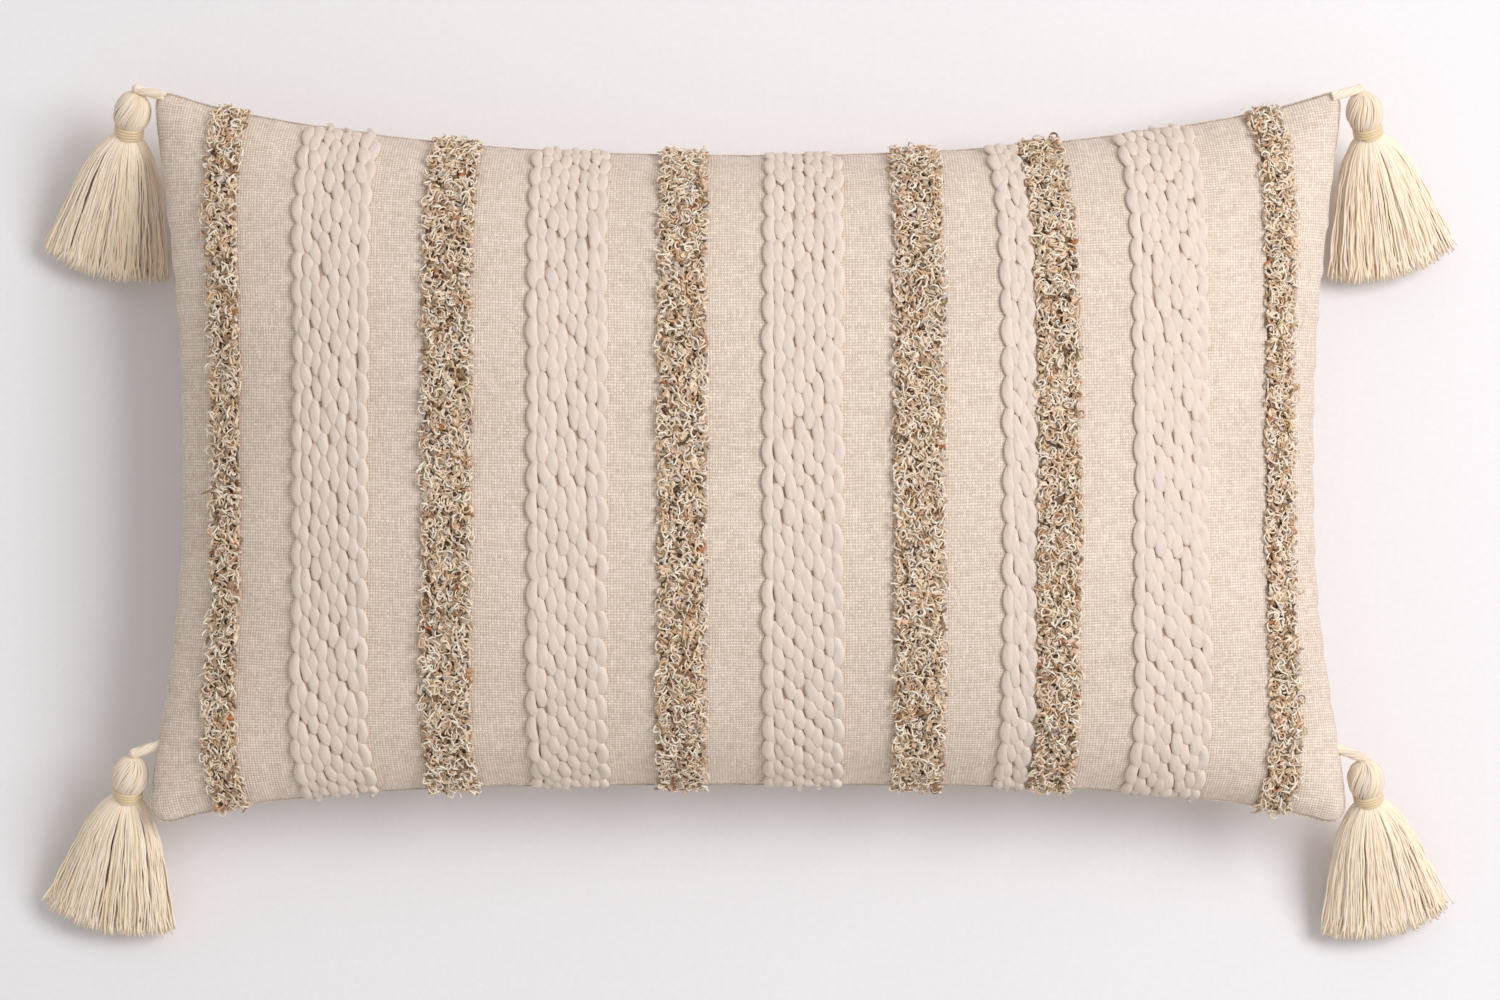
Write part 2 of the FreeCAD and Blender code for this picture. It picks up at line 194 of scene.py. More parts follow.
def tubes(paths, radii, sides):
    """Closed tubes along paths (tubes, points, 3), as verts, face sets, uv and each vert's tube."""
    paths = np.asarray(paths, float)
    count, steps, _ = paths.shape
    radii = np.broadcast_to(radii, (count, steps))
    tangent = unit(np.gradient(paths, axis=1))
    helper = np.where(np.abs(tangent[:, :1, 2:]) < 0.8, [0.0, 0.0, 1.0], [1.0, 0.0, 0.0])
    normal = np.empty_like(paths)
    across = unit(np.cross(tangent[:, 0], helper[:, 0]))
    for i in range(steps):
        across = unit(across - tangent[:, i] * np.sum(across * tangent[:, i], -1, keepdims=True))
        normal[:, i] = across
    binormal = np.cross(tangent, normal)
    length = np.zeros((count, steps))
    length[:, 1:] = np.cumsum(np.linalg.norm(np.diff(paths, axis=1), axis=-1), axis=1)
    angle = np.arange(sides) * 2 * math.pi / sides
    verts = paths[:, :, None, :] + radii[:, :, None, None] * (
        np.cos(angle)[:, None] * normal[:, :, None, :] + np.sin(angle)[:, None] * binormal[:, :, None, :]
    )
    per_tube = steps * sides
    shift = (np.arange(count) * per_tube)[:, None, None]
    quads = (grid_faces(steps, sides, wrap=True)[None] + shift).reshape(-1, 4)
    first = np.arange(sides)[::-1]
    caps = np.stack([first, first[::-1] + (steps - 1) * sides])
    caps = (caps[None] + shift).reshape(-1, sides)

    around = np.arange(sides + 1) / sides
    u = np.stack([around[:-1], around[1:], around[1:], around[:-1]], -1)
    v0, v1 = length[:, :-1] / 10, length[:, 1:] / 10
    quad_uv = np.empty((count, steps - 1, sides, 4, 2))
    quad_uv[..., 0] = u[None, None]
    quad_uv[..., 1] = np.stack([v0, v0, v1, v1], -1)[:, :, None, :]
    cap_uv = np.zeros((len(caps) * sides, 2))
    uv = np.concatenate([quad_uv.reshape(-1, 2), cap_uv])
    owner = np.repeat(np.arange(count), per_tube)
    return verts.reshape(-1, 3), [quads, caps], uv, owner


def tube_piece(name, groups, panel=None):
    """One piece made of groups of tubes: (paths, radii, sides, one colour per tube, flatness).

    With a panel, the paths are (along, across, height) over its flat cloth, and flatness
    below 1 presses the tubes towards the cloth.
    """
    verts, quads, caps, uv_quads, uv_caps, tints, base = [], [], [], [], [], [], 0
    for paths, radii, sides, colours, flatness in groups:
        v, (q, c), uv, owner = tubes(paths, radii, sides)
        if panel:
            middle = np.repeat(paths[..., 2].ravel(), sides)
            v = panel.at(v[:, 0], v[:, 1], middle + (v[:, 2] - middle) * flatness)
        verts.append(v)
        quads.append(q + base)
        caps.append(c + base)
        uv_quads.append(uv[: q.size])
        uv_caps.append(uv[q.size:])
        tints.append(np.asarray(colours)[owner])
        base += len(v)
    uv = np.concatenate(uv_quads + uv_caps)
    return new_mesh(name, np.concatenate(verts), [np.concatenate(quads)] + caps, uv, np.concatenate(tints))


def grey_tones(rng, low, high, count):
    """One neutral brightness per tube."""
    return rng.uniform(low, high, count)[:, None] * np.ones((1, 3))


def srgb(r, g, b):
    """A colour from 0 to 255 values, as the linear values that shaders take."""
    c = np.array([r, g, b]) / 255.0
    return np.where(c <= 0.04045, c / 12.92, ((c + 0.055) / 1.055) ** 2.4)


def smooth_noise(x, seed, octaves=3):
    """A smooth random wave of about unit height over x, made of sines."""
    rng = np.random.default_rng(seed)
    total = np.zeros_like(np.asarray(x, float))
    for k in range(octaves):
        frequency = (1.7 ** k) * rng.uniform(0.85, 1.15)
        total += np.sin(x * frequency * 2 * math.pi + rng.uniform(0, 6.28)) / (k + 1)
    return total / 1.5


# ======== the stuffed cover


def seam_plan(u, v):
    """Where the cloth's point (u, v), each from -1 to 1, lies in plan once the cover is stuffed."""
    share = np.abs(v) ** 1.4
    share = share * share * (3 - 2 * share)
    flare = np.where(v > 0, TOP_CORNER_FLARE, BOTTOM_CORNER_FLARE)
    rise = np.where(
        v > 0,
        TOP_CORNER_RISE * np.abs(u) ** TOP_EDGE_POWER,
        BOTTOM_CORNER_DROP * np.abs(u) ** BOTTOM_EDGE_POWER,
    )
    return u * (WAIST_HALF_LENGTH + flare * share), v * (WAIST_HALF_WIDTH + rise)


def swollen(u, v, crown):
    """The stuffed panel's shape: the outline at the seam, and a plump rise (or fall) inside it."""
    x, y = seam_plan(u, v)
    swell = np.clip((1 - np.abs(u) ** LENGTH_POWER) * (1 - v * v), 0, 1) ** ROUNDNESS
    return np.stack(np.broadcast_arrays(x, y, SEAM_Z + crown * swell), -1)


def matched(lines, samples, share):
    """Where along each of its lines (from -1 to 1 in samples) each point has this share of its length."""
    steps = np.linalg.norm(np.diff(lines, axis=-2), axis=-1)
    run = np.concatenate([np.zeros(share.shape + (1,)), np.cumsum(steps, axis=-1)], axis=-1)
    run = 2 * run / run[..., -1:] - 1
    found = np.empty_like(share)
    for place in np.ndindex(share.shape):
        found[place] = np.interp(share[place], run[place], samples)
    return found


def start_grid(crown):
    """A panel's first shape, its points spread over it as they are over the flat cloth."""
    samples = np.sin(np.linspace(-1, 1, 161) * math.pi / 2)
    s, t = np.meshgrid(np.linspace(-1, 1, GRID_S + 1), np.linspace(-1, 1, GRID_T + 1), indexing="ij")
    u, v = s.copy(), t.copy()
    for _ in range(3):
        u = matched(swollen(samples, v[..., None], crown), samples, s)
        v = matched(swollen(u[..., None], samples, crown), samples, t)
    return swollen(u, v, crown)


def inflate(front, back):
    """Blows up the two panels, sewn together along their seam, with Blender's cloth. Returns both grids."""
    rows, columns = front.shape[:2]
    number = np.arange(rows * columns).reshape(rows, columns)
    rim = np.ones((rows, columns), bool)
    rim[1:-1, 1:-1] = False
    back_number = number.copy()
    back_number[~rim] = rows * columns + np.arange((~rim).sum())
    verts = np.concatenate([front.reshape(-1, 3), back[~rim]])
    cells = grid_faces(rows, columns)
    back_cells = back_number.ravel()[cells][:, ::-1]
    cushion = new_mesh("cushion_for_simulation", verts, [cells[:, ::-1], back_cells[:, ::-1]])

    flat_s, flat_t = np.meshgrid(
        np.linspace(-HALF_S, HALF_S, rows), np.linspace(-HALF_T, HALF_T, columns), indexing="ij")
    flat = np.stack([flat_s * CLOTH_EASE, flat_t * CLOTH_EASE, np.full_like(flat_s, SEAM_Z)], -1)
    flat = np.concatenate([flat.reshape(-1, 3), flat[~rim]])
    cushion.shape_key_add(name="Basis")
    rest = cushion.shape_key_add(name="flat")
    rest.data.foreach_set("co", (flat * MM).astype(np.float32).ravel())
    rest.value = 0.0
    pinned = cushion.vertex_groups.new(name="seam")
    pinned.add([int(i) for i in number[rim]], 1.0, "REPLACE")

    modifier = cushion.modifiers.new("inflate", "CLOTH")
    modifier.collision_settings.use_collision = False
    modifier.point_cache.frame_start = 1
    modifier.point_cache.frame_end = SIM_FRAMES
    cloth = modifier.settings
    for setting, value in dict(
        quality=8, mass=0.3, tension_stiffness=30, compression_stiffness=20, shear_stiffness=5, bending_stiffness=0.2,
        air_damping=5, use_pressure=True, uniform_pressure_force=6, vertex_group_mass="seam", rest_shape_key=rest,
    ).items():
        setattr(cloth, setting, value)
    cloth.effector_weights.gravity = 0
    scene = bpy.context.scene
    for number_of_frame in range(1, SIM_FRAMES + 1):
        scene.frame_set(number_of_frame)
    result = cushion.evaluated_get(bpy.context.evaluated_depsgraph_get())
    after = np.empty(len(verts) * 3, np.float32)
    result.data.vertices.foreach_get("co", after)
    after = after.reshape(-1, 3) / MM
    bpy.data.objects.remove(cushion)
    scene.frame_set(1)

    shift = after - verts
    distance = np.linalg.norm(shift, axis=1, keepdims=True)
    after = verts + shift * np.minimum(1, MAX_SHIFT / np.maximum(distance, 1e-6))
    return after[number], after[back_number]


def upsampled(grid, times, axis):
    """More points between the grid's points along an axis, on smooth curves through them."""
    p = np.moveaxis(grid, axis, 0)
    ends = (2 * p[:1] - p[1:2], 2 * p[-1:] - p[-2:-1])
    p = np.concatenate([ends[0], p, ends[1]])
    a, b, c, d = p[:-3], p[1:-2], p[2:-1], p[3:]
    pieces = []
    for k in range(times):
        x = k / times
        pieces.append(0.5 * (2 * b + (c - a) * x + (2 * a - 5 * b + 4 * c - d) * x ** 2
                             + (3 * b - a - 3 * c + d) * x ** 3))
    fine = np.stack(pieces, 1).reshape((-1,) + p.shape[1:])
    return np.moveaxis(np.concatenate([fine, p[-2:-1]]), 0, axis)


class Panel:
    """A panel of the stuffed cover: finds the place of any point of its flat cloth."""

    def __init__(self, grid, side):
        self.side = side
        self.points = upsampled(upsampled(grid, REFINE, 0), REFINE, 1)
        rows, columns = self.points.shape[:2]
        self.s = np.linspace(-HALF_S, HALF_S, rows)[:, None] * np.ones((1, columns))
        self.t = np.linspace(-HALF_T, HALF_T, columns)[None, :] * np.ones((rows, 1))
        self.find_normals()

    def find_normals(self):
        along = np.gradient(self.points, axis=0)
        across = np.gradient(self.points, axis=1)
        self.normals = unit(np.cross(along, across)) * self.side

    def lift(self, height):
        """Moves every point out along its normal."""
        self.points = self.points + self.normals * height[..., None]
        self.find_normals()

    def at(self, s, t, height):
        """The points this high above the cloth at (s, t)."""
        rows, columns = self.points.shape[:2]
        i = np.clip((np.asarray(s) / HALF_S + 1) / 2 * (rows - 1), 0, rows - 1.001)
        j = np.clip((np.asarray(t) / HALF_T + 1) / 2 * (columns - 1), 0, columns - 1.001)
        i0, j0 = i.astype(int), j.astype(int)
        fi, fj = (i - i0)[..., None], (j - j0)[..., None]

        def blended(grid):
            low = grid[i0, j0] * (1 - fj) + grid[i0, j0 + 1] * fj
            high = grid[i0 + 1, j0] * (1 - fj) + grid[i0 + 1, j0 + 1] * fj
            return low * (1 - fi) + high * fi

        beyond = np.maximum(np.abs(np.asarray(t)) - HALF_T, 0)[..., None] * np.sign(np.asarray(t))[..., None]
        place = blended(self.points) + unit(blended(self.normals)) * np.asarray(height)[..., None]
        return place + beyond * np.array([0.0, 0.6, 0.0])


def seam_distance(panel):
    """How far each point is from the nearest seam, and how far along that seam."""
    to_side = HALF_S - np.abs(panel.s)
    to_long = HALF_T - np.abs(panel.t)
    along = np.where(to_side < to_long, panel.t + 700 * np.sign(panel.s), panel.s + 1900 * np.sign(panel.t))
    return np.minimum(to_side, to_long), along


def pucker(panel, seed):
    """Small gathers where the cloth is eased into the seam, and the filling's slight unevenness."""
    distance, along = seam_distance(panel)
    gathers = smooth_noise(along / 17.0, seed) * np.exp(-distance / 13.0) * (1 - np.exp(-distance / 4.0))
    lumps = smooth_noise(panel.s / 150.0, seed + 1, 2) * smooth_noise(panel.t / 120.0, seed + 2, 2)
    lumps = lumps * (1 - np.exp(-distance / 30.0))
    panel.lift(0.9 * gathers + 0.7 * lumps)


def bulge_sides(panel):
    """Lets the cloth of the side seams belly out past the stitches, as the filling pushes it."""
    from_side = HALF_S - np.abs(panel.s)
    along = np.clip(1 - (panel.t / HALF_T) ** 2, 0, 1) ** 0.7
    share = from_side / SIDE_BULGE_REACH
    push = SIDE_BULGE * share * np.exp(1 - share) - SIDE_TUCK * np.exp(-share)
    panel.points[..., 0] += np.sign(panel.s) * push * along
    panel.find_normals()


def blunt_corners(panel):
    """Draws the pillow's four corners out a little and rounds them, the bottom ones more."""
    p = panel.points
    from_corner = np.hypot(HALF_S - np.abs(panel.s), HALF_T - np.abs(panel.t))
    drawn = np.clip(1 - from_corner / CORNER_REACH, 0, 1) ** 2
    p[..., 0] += EAR_ALONG * np.sign(panel.s) * drawn * (panel.t > 0)
    p[..., 1] += EAR_ACROSS * np.sign(panel.t) * drawn
    first, last = slice(0, CORNER_CELLS), slice(-1, -CORNER_CELLS - 1, -1)
    for along in (first, last):
        for across, radius in ((first, BOTTOM_CORNER_RADIUS), (last, TOP_CORNER_RADIUS)):
            block = p[along, across]
            near = np.linalg.norm(block[1:, 0] - block[:-1, 0], axis=1)
            side = np.linalg.norm(block[0, 1:] - block[0, :-1], axis=1)
            a = np.clip(1 - np.concatenate([[0], np.cumsum(near)]) / radius, 0, 1)[:, None]
            b = np.clip(1 - np.concatenate([[0], np.cumsum(side)]) / radius, 0, 1)[None, :]
            toward_a = unit(block[-1, 0] - block[0, 0])
            toward_b = unit(block[0, -1] - block[0, 0])
            move_a = radius * a * (1 - np.sqrt(1 - b ** 2 / 2))
            move_b = radius * b * (1 - np.sqrt(1 - a ** 2 / 2))
            block += move_a[..., None] * toward_a + move_b[..., None] * toward_b


def open_lip(panel):
    """Turns the seam's edge back where the zip lies, so that the two panels stand apart there."""
    window = 1 / (1 + np.exp((np.abs(panel.points[..., 0]) - ZIP_HALF_LENGTH + 2) / 1.5))
    from_seam = panel.t + HALF_T
    share = np.clip(1 - from_seam / 16.0, 0, 1) ** 1.5 * window
    panel.points[..., 2] += panel.side * LIP_HALF_HEIGHT * share
    panel.find_normals()


def rest_on_floor(panel):
    """Flattens what would sink into the floor, with a soft turn-up round the flat patch."""
    z = panel.points[..., 2]
    softness = 1.2
    panel.points[..., 2] = np.maximum(0.5 * (z + np.sqrt(z * z + softness ** 2)) - 0.08, 0.0)
    panel.find_normals()


def panel_piece(name, panel, outer, inner, shrink=(1.0, 1.0)):
    """A closed sheet between two distances below the panel's outer face, shrunk in plan."""
    rows, columns = panel.points.shape[:2]
    rim = np.ones((rows, columns), bool)
    rim[1:-1, 1:-1] = False
    inward = panel.normals.copy()
    inward[rim, 2] *= 0.2
    inward = unit(inward)
    scale = np.array([*shrink, 1.0])
    flat = np.stack([panel.s / (2 * HALF_S) + 0.5, panel.t / (2 * HALF_T) + 0.5], -1)
    return closed_sheet(name, (panel.points - inward * outer) * scale, (panel.points - inward * inner) * scale,
                        panel.side, flat)


# ======== trims


def strayed(trim, t):
    """A trim's middle at each distance t across the cloth."""
    centre, top, bottom = trim
    share = np.asarray(t) / HALF_T
    return centre + top * np.maximum(share, 0) ** 2 + bottom * np.maximum(-share, 0) ** 2


def braid(name, panel, trim, columns, pitch_s, edge_s, seed):
    """Plump leaning stitches, half a stitch apart in neighbouring columns, between two lobed edges."""
    rng = np.random.default_rng(seed)
    tau = np.linspace(0, 1, STITCH_STEPS)
    arch = np.sin(math.pi * tau)
    paths, radii = [], []

    def lay(s, t, height, radius):
        """Adds a stitch, lower and thinner near the ends of the trim, where the seam holds it down."""
        ends = np.clip((HALF_T + 1.5 - np.abs(t)) / 9.0, 0.25, 1)
        paths.append(np.stack([strayed(trim, t) + s, t, height * ends], -1))
        radii.append(radius * (0.55 + 0.45 * ends))

    for column in range(columns):
        middle = (column - (columns - 1) / 2) * pitch_s
        start = -HALF_T + 3 + (STITCH_PITCH / 2 if column % 2 else 0)
        for t0 in np.arange(start, HALF_T - 2, STITCH_PITCH):
            half = STITCH_HALF * rng.uniform(0.90, 1.08)
            lean = 0.85 + rng.normal(0, 0.4)
            bend = rng.normal(0, 0.4)
            s = middle + rng.normal(0, 0.3) + lean * (1 - 2 * tau) + bend * arch
            t = t0 + rng.normal(0, 0.6) - half + 2 * half * tau
            lay(s, t, 0.2 + 1.25 * arch ** 0.55 + 0.3 * (1 - 2 * tau) + rng.normal(0, 0.16),
                (0.58 * pitch_s ** 0.6 + 0.52 * pitch_s ** 0.6 * arch ** 0.45) * rng.uniform(0.92, 1.08))
    for edge in (-1, 1):
        t0 = -HALF_T + 4 + rng.uniform(0, 3)
        while t0 < HALF_T - 5:
            half = rng.uniform(6.8, 7.8)
            bulge = rng.uniform(1.9, 2.6)
            s = edge * (edge_s + bulge * arch ** 0.9) + 0.6 * (1 - 2 * tau)
            t = t0 - half + 2 * half * tau
            lay(s, t, 0.3 + 1.0 * arch ** 0.7, (1.2 + 1.25 * arch ** 0.6) * rng.uniform(0.92, 1.08))
            t0 += rng.uniform(10.8, 12.8)
    tones = grey_tones(rng, 0.96, 1.02, len(paths))
    return tube_piece(name, [(np.array(paths), np.array(radii), 14, tones, STITCH_FLATNESS)], panel)


CURL_COLOURS = (         # colour of the fine curled yarns, and its share of them
    (srgb(255, 243, 224), 0.36),
    (srgb(250, 228, 198), 0.26),
    (srgb(240, 216, 192), 0.16),
    (srgb(226, 188, 148), 0.14),
    (srgb(158, 122, 86), 0.06),
    (srgb(204, 152, 112), 0.03),
)
PETAL_COLOURS = (        # and of the broad flattened loops beneath them
    (srgb(248, 222, 192), 0.30),
    (srgb(236, 206, 172), 0.24),
    (srgb(212, 200, 194), 0.13),
    (srgb(194, 178, 144), 0.08),
    (srgb(208, 180, 146), 0.16),
    (srgb(168, 132, 94), 0.08),
    (srgb(196, 122, 70), 0.02),
    (srgb(126, 98, 76), 0.03),
)
# the dark brown of the strip under the loops: painted shade in the gaps between loops, with the brown of the
# under-yarn
LOOP_GROUND_SHADE = srgb(122, 92, 64)


def mixed_colours(rng, palette, tones):
    """One colour from the palette per strand, made lighter or darker by its tone."""
    colours = np.array([colour for colour, _ in palette])
    shares = np.array([share for _, share in palette])
    picked = rng.choice(len(colours), len(tones), p=shares / shares.sum())
    return np.clip(colours[picked] * tones[:, None], 0, 1)


def loop_stripe(name, panel, trim, width, seed):
    """A dense pile of curled yarns: broad flattened loops, and fine curls and cut ends over them."""
    rng = np.random.default_rng(seed)
    wave = rng.uniform(0, 6.28)
    count = int(YARNS_PER_MM * width)

    def draw(low, high):
        return rng.uniform(low, high, (count, 1))

    def scattered():
        """Each yarn's place along and across the cloth, and the way it heads."""
        return draw(-1, 1) * (width / 2 - 0.8), draw(-HALF_T + 0.5, HALF_T - 0.5), draw(0, 2 * math.pi)

    def placed(s0, t0, heading, x, y, height):
        s = s0 + x * np.cos(heading) - y * np.sin(heading)
        t = np.clip(t0 + x * np.sin(heading) + y * np.cos(heading), -HALF_T - 1.5, HALF_T + 1.5)
        edge = width / 2 + 0.7 + 0.7 * np.sin(t0 / 3.1 + wave) + rng.uniform(-0.6, 0.9, s0.shape)
        return np.stack([strayed(trim, t) + np.clip(s, -edge, edge), t, height], -1)

    tau = np.linspace(0, 1, 6)[None, :]
    s0, t0, heading = scattered()
    reach, curve = draw(2.2, 4.0), draw(-1.2, 1.2)
    level, pitch = draw(0.5, 2.0), draw(-0.8, 0.8)
    petals = placed(s0, t0, heading, reach * (tau - 0.5), curve * np.sin(math.pi * tau), level + pitch * (tau - 0.5))
    petal_radii = draw(0.65, 1.10) * (0.35 + 0.65 * np.sin(math.pi * tau) ** 0.7)
    # lower petals are painted darker as shade deep in the pile, on top of each petal's random tone
    tones = draw(0.80, 1.10)[:, 0] * np.clip(0.72 + 0.20 * level[:, 0], 0.64, 1.05)
    petal_colours = mixed_colours(rng, PETAL_COLOURS, tones * (1 + 0.08 * smooth_noise(t0[:, 0] / 35.0, seed)))

    tau = np.linspace(0, 1, 8)[None, :]
    s0, t0, heading = scattered()
    size, tip, level = draw(1.0, 1.9), draw(0.5, 1.45), draw(0.6, 2.6)
    cut = draw(0, 1) < 0.35
    turn = -0.6 + tau * draw(2.6, 4.9)
    bend, reach = draw(-1.2, 1.2), draw(2.4, 4.8)
    x = np.where(cut, reach * (tau - 0.3) * np.cos(bend * tau), size * np.cos(turn))
    y = np.where(cut, reach * 0.75 * tau * (1.3 - 0.5 * tau) + bend * 0.8 * np.sin(3 * tau),
                 size * (np.sin(turn) + 0.55))
    kink = rng.uniform(0.15, 0.5, (2, count, 1)) * np.sin(tau * rng.uniform(4, 9, (2, count, 1)) + heading)
    x, y = x + kink[0], y + kink[1]
    curls = placed(s0, t0, heading, x, y * np.sin(tip), np.maximum(y * np.cos(tip), -0.2) + level)
    curl_radii = draw(0.30, 0.48) * (0.72 + 0.28 * np.sin(math.pi * tau))
    curl_colours = mixed_colours(rng, CURL_COLOURS, draw(0.86, 1.08)[:, 0])
    return tube_piece(name, [
        (petals, petal_radii, 6, petal_colours, 0.5),
        (curls, curl_radii, 5, curl_colours, 1.0),
    ], panel)


def ground(name, panel, trim, width, height, tint):
    """The closed strip under a trim's yarns, tinted darker than them: painted shade in the gaps between them, and for
    the loops also the brown of their under-yarn.
    """
    s, t = np.meshgrid(
        np.linspace(-width / 2, width / 2, 11), np.linspace(-HALF_T + 0.3, HALF_T - 0.3, 181), indexing="ij")
    edge_fall = np.clip((width / 2 - np.abs(s)) / 2.0, 0, 1) ** 0.5
    s = s * (1 + 0.04 * smooth_noise(t / 9.0, 71)) + strayed(trim, t)
    top = panel.at(s, t, 0.05 + height * edge_fall)
    under = panel.at(s, t, np.full_like(s, -0.2))
    return closed_sheet(name, top, under, 1, np.stack([s, t], -1) / 10, tint)


# ======== seam, hems and insert


def seam_thread(name, front, back):
    """The sewing thread in the groove between the panels: one short bead per stitch."""
    ring = (ring_round(front.points) + ring_round(back.points)) / 2
    ring = np.concatenate([ring, ring[:1]])
    gaps = np.linalg.norm(np.diff(ring, axis=0), axis=1)
    along = np.concatenate([[0], np.cumsum(gaps)])
    stitch, profile = 2.6, np.array([0.18, 0.30, 0.34, 0.30, 0.18])
    starts = np.arange(0, along[-1] - stitch, stitch)
    where = starts[:, None] + np.linspace(0, stitch * 1.05, len(profile))[None, :]
    points = np.stack([np.interp(where, along, ring[:, k]) for k in range(3)], -1)
    in_zip = (np.abs(points[:, 2, 0]) < ZIP_HALF_LENGTH) & (points[:, 2, 1] < -100)
    points = points[~in_zip]
    points = points + unit(points * np.array([1.0, 1.0, 0.0])) * 0.1
    tones = grey_tones(np.random.default_rng(5), 0.85, 1.1, len(points))
    return tube_piece(name, [(points, profile, 6, tones, 1.0)])


def hem_piece(name, panel):
    """The folded edge of a panel beside the zip, a strip that turns in from the lip to the tape."""
    row = panel.points[:, 0]
    row = row[np.abs(row[:, 0]) < ZIP_HALF_LENGTH + 0.5]
    tape_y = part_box("zip_tape_front")[0].y / MM
    steps, verts = 9, []
    for outer in (0.05, -CLOTH_THICKNESS):
        for share in np.linspace(0, 1, steps):
            y = row[:, 1] + (tape_y - 0.1 - row[:, 1]) * share
            bulge = 0.35 * math.sin(math.pi * min(1, share * 4) / 2)
            z = row[:, 2] - panel.side * (bulge + outer) + panel.side * 0.1
            verts.append(np.stack([row[:, 0], y, z], -1))
    loop = np.array(verts[:steps] + verts[steps:][::-1])
    rows, count = 2 * steps, len(row)
    first = np.arange(count - 1)
    last = first + (rows - 1) * count
    faces = np.concatenate([grid_faces(rows, count), np.stack([last, last + 1, first + 1, first], -1)])
    starts = np.arange(rows) * count
    ends = np.array([starts, (starts + count - 1)[::-1]])
    if panel.side > 0:
        faces = faces[:, ::-1]
    else:
        ends = ends[:, ::-1]
    flat = loop.reshape(-1, 3)[:, :2] / 10
    uv = np.concatenate([flat[faces.ravel()], flat[ends.ravel()]])
    return new_mesh(name, loop.reshape(-1, 3), [faces, ends], uv)


def zip_stitches(name, front, back):
    """Two rows of stitches that hold the tapes, just back from the lips."""
    stitch, steps = 2.8, 5
    s = np.arange(-ZIP_HALF_LENGTH, ZIP_HALF_LENGTH, stitch)[:, None] + np.linspace(0, 2.1, steps)[None, :]
    t = np.full_like(s, -HALF_T + 5.0)
    dip = np.array([-0.35, 0.1, 0.22, 0.1, -0.35])[None, :] * np.ones_like(s)
    points = np.concatenate([front.at(s, t, dip), back.at(s, t, dip)])
    return tube_piece(name, [(points, 0.22, 6, np.ones((len(points), 3)), 1.0)])


def fill_piece(name, front, back):
    """The fibre filling: one lumpy closed mass inside the insert."""
    verts, faces, base = [], [], 0
    for panel in (front, back):
        distance, _ = seam_distance(panel)
        lumps = smooth_noise(panel.s / 31.0, 81) * smooth_noise(panel.t / 27.0, 82)
        lumps = (0.8 * lumps - 0.6) * (1 - np.exp(-distance / 25.0))
        inset = panel.points - panel.normals * (FILL_DEPTH - lumps)[..., None]
        inset = inset * np.array(FILL_SHRINK)
        inset[..., 2] = np.where(distance < 0.01, SEAM_Z, inset[..., 2])
        if panel is back:
            inset[..., 2] = np.maximum(inset[..., 2], FILL_LOWEST)
        step = inset[::REFINE, ::REFINE]
        rows, columns = step.shape[:2]
        cells = grid_faces(rows, columns)
        verts.append(step.reshape(-1, 3))
        faces.append((cells[:, ::-1] if panel is front else cells) + base)
        base += rows * columns
    mass = new_mesh(name, np.concatenate(verts), [np.concatenate(faces)])
    merge = mass.modifiers.new("sew", "WELD")
    merge.merge_threshold = FILL_SEW * MM
    return mass


# ======== tassels


def tassel_joint(kind, corner):
    """A tassel joint's place in millimetres, and its axis."""
    joint = next(j for j in frame["joints"] if j["name"] == "tassel_%s_%s" % (kind, corner))
    return np.array(joint["pos_m"]) / MM, np.array(joint["axis"], float)


class Hanging:
    """A tassel's own directions: along it, across it level, and out of its upper face."""

    def __init__(self, corner):
        self.pivot, axis = tassel_joint("lift", corner)
        self.wide = -axis
        trail = np.array([-axis[1], axis[0], 0.0])
        tilt = math.radians(TASSEL_TILT)
        self.down = math.cos(tilt) * trail - math.sin(tilt) * np.array([0, 0, 1.0])
        self.up = unit(np.cross(self.wide, self.down))
        if self.up[2] < 0:
            self.up = -self.up

    def at(self, depth, across, out):
        """A point this far below the pivot, this far across and this far out of the upper face."""
        depth, across, out = (np.asarray(a, float)[..., None] for a in np.broadcast_arrays(depth, across, out))
        return self.pivot + depth * self.down + across * self.wide + out * self.up


HEAD_TOP = 1.3
HEAD_RADIUS = 7.75
NECK_RADIUS = 5.1
BINDING_TOP = 17.4
BINDING_LENGTH = 4.8
SKIRT_TOP = BINDING_TOP + BINDING_LENGTH
SKIRT_END = 87.8
NECK_LATITUDE = 2.40     # where the head's ball narrows into the neck, radians from its top
HEAD_STRANDS = 58
SKIRT_STRANDS = 740
CORE_STRANDS = 150
CORD_INSIDE = 5.5        # how far inside the corner the cord begins
SKIRT_PROFILE = (        # share of the skirt's length, half width, half thickness
    (0.00, 5.4, 5.2),
    (0.04, 8.2, 6.8),
    (0.13, 12.4, 8.2),
    (0.27, 16.4, 9.2),
    (0.48, 20.0, 9.4),
    (0.73, 24.0, 8.8),
    (1.00, 27.0, 7.2),
)


def skirt_size(depth):
    """The skirt's half width and half thickness at each depth."""
    share, half_width, half_thickness = np.array(SKIRT_PROFILE).T
    along = (depth - SKIRT_TOP) / (SKIRT_END - SKIRT_TOP)
    return np.interp(along, share, half_width), np.interp(along, share, half_thickness)


def tassel_yarn_colours(rng, count):
    """Cream, with a slightly different tone and warmth for each strand."""
    base = srgb(255, 236, 212)
    tone = rng.normal(0.98, 0.06, count).clip(0.84, 1.08)[:, None]
    warm = rng.normal(0, 0.015, count)[:, None] * np.array([[1.0, 0.0, -1.5]])
    return np.clip(base * tone + warm, 0, 1)


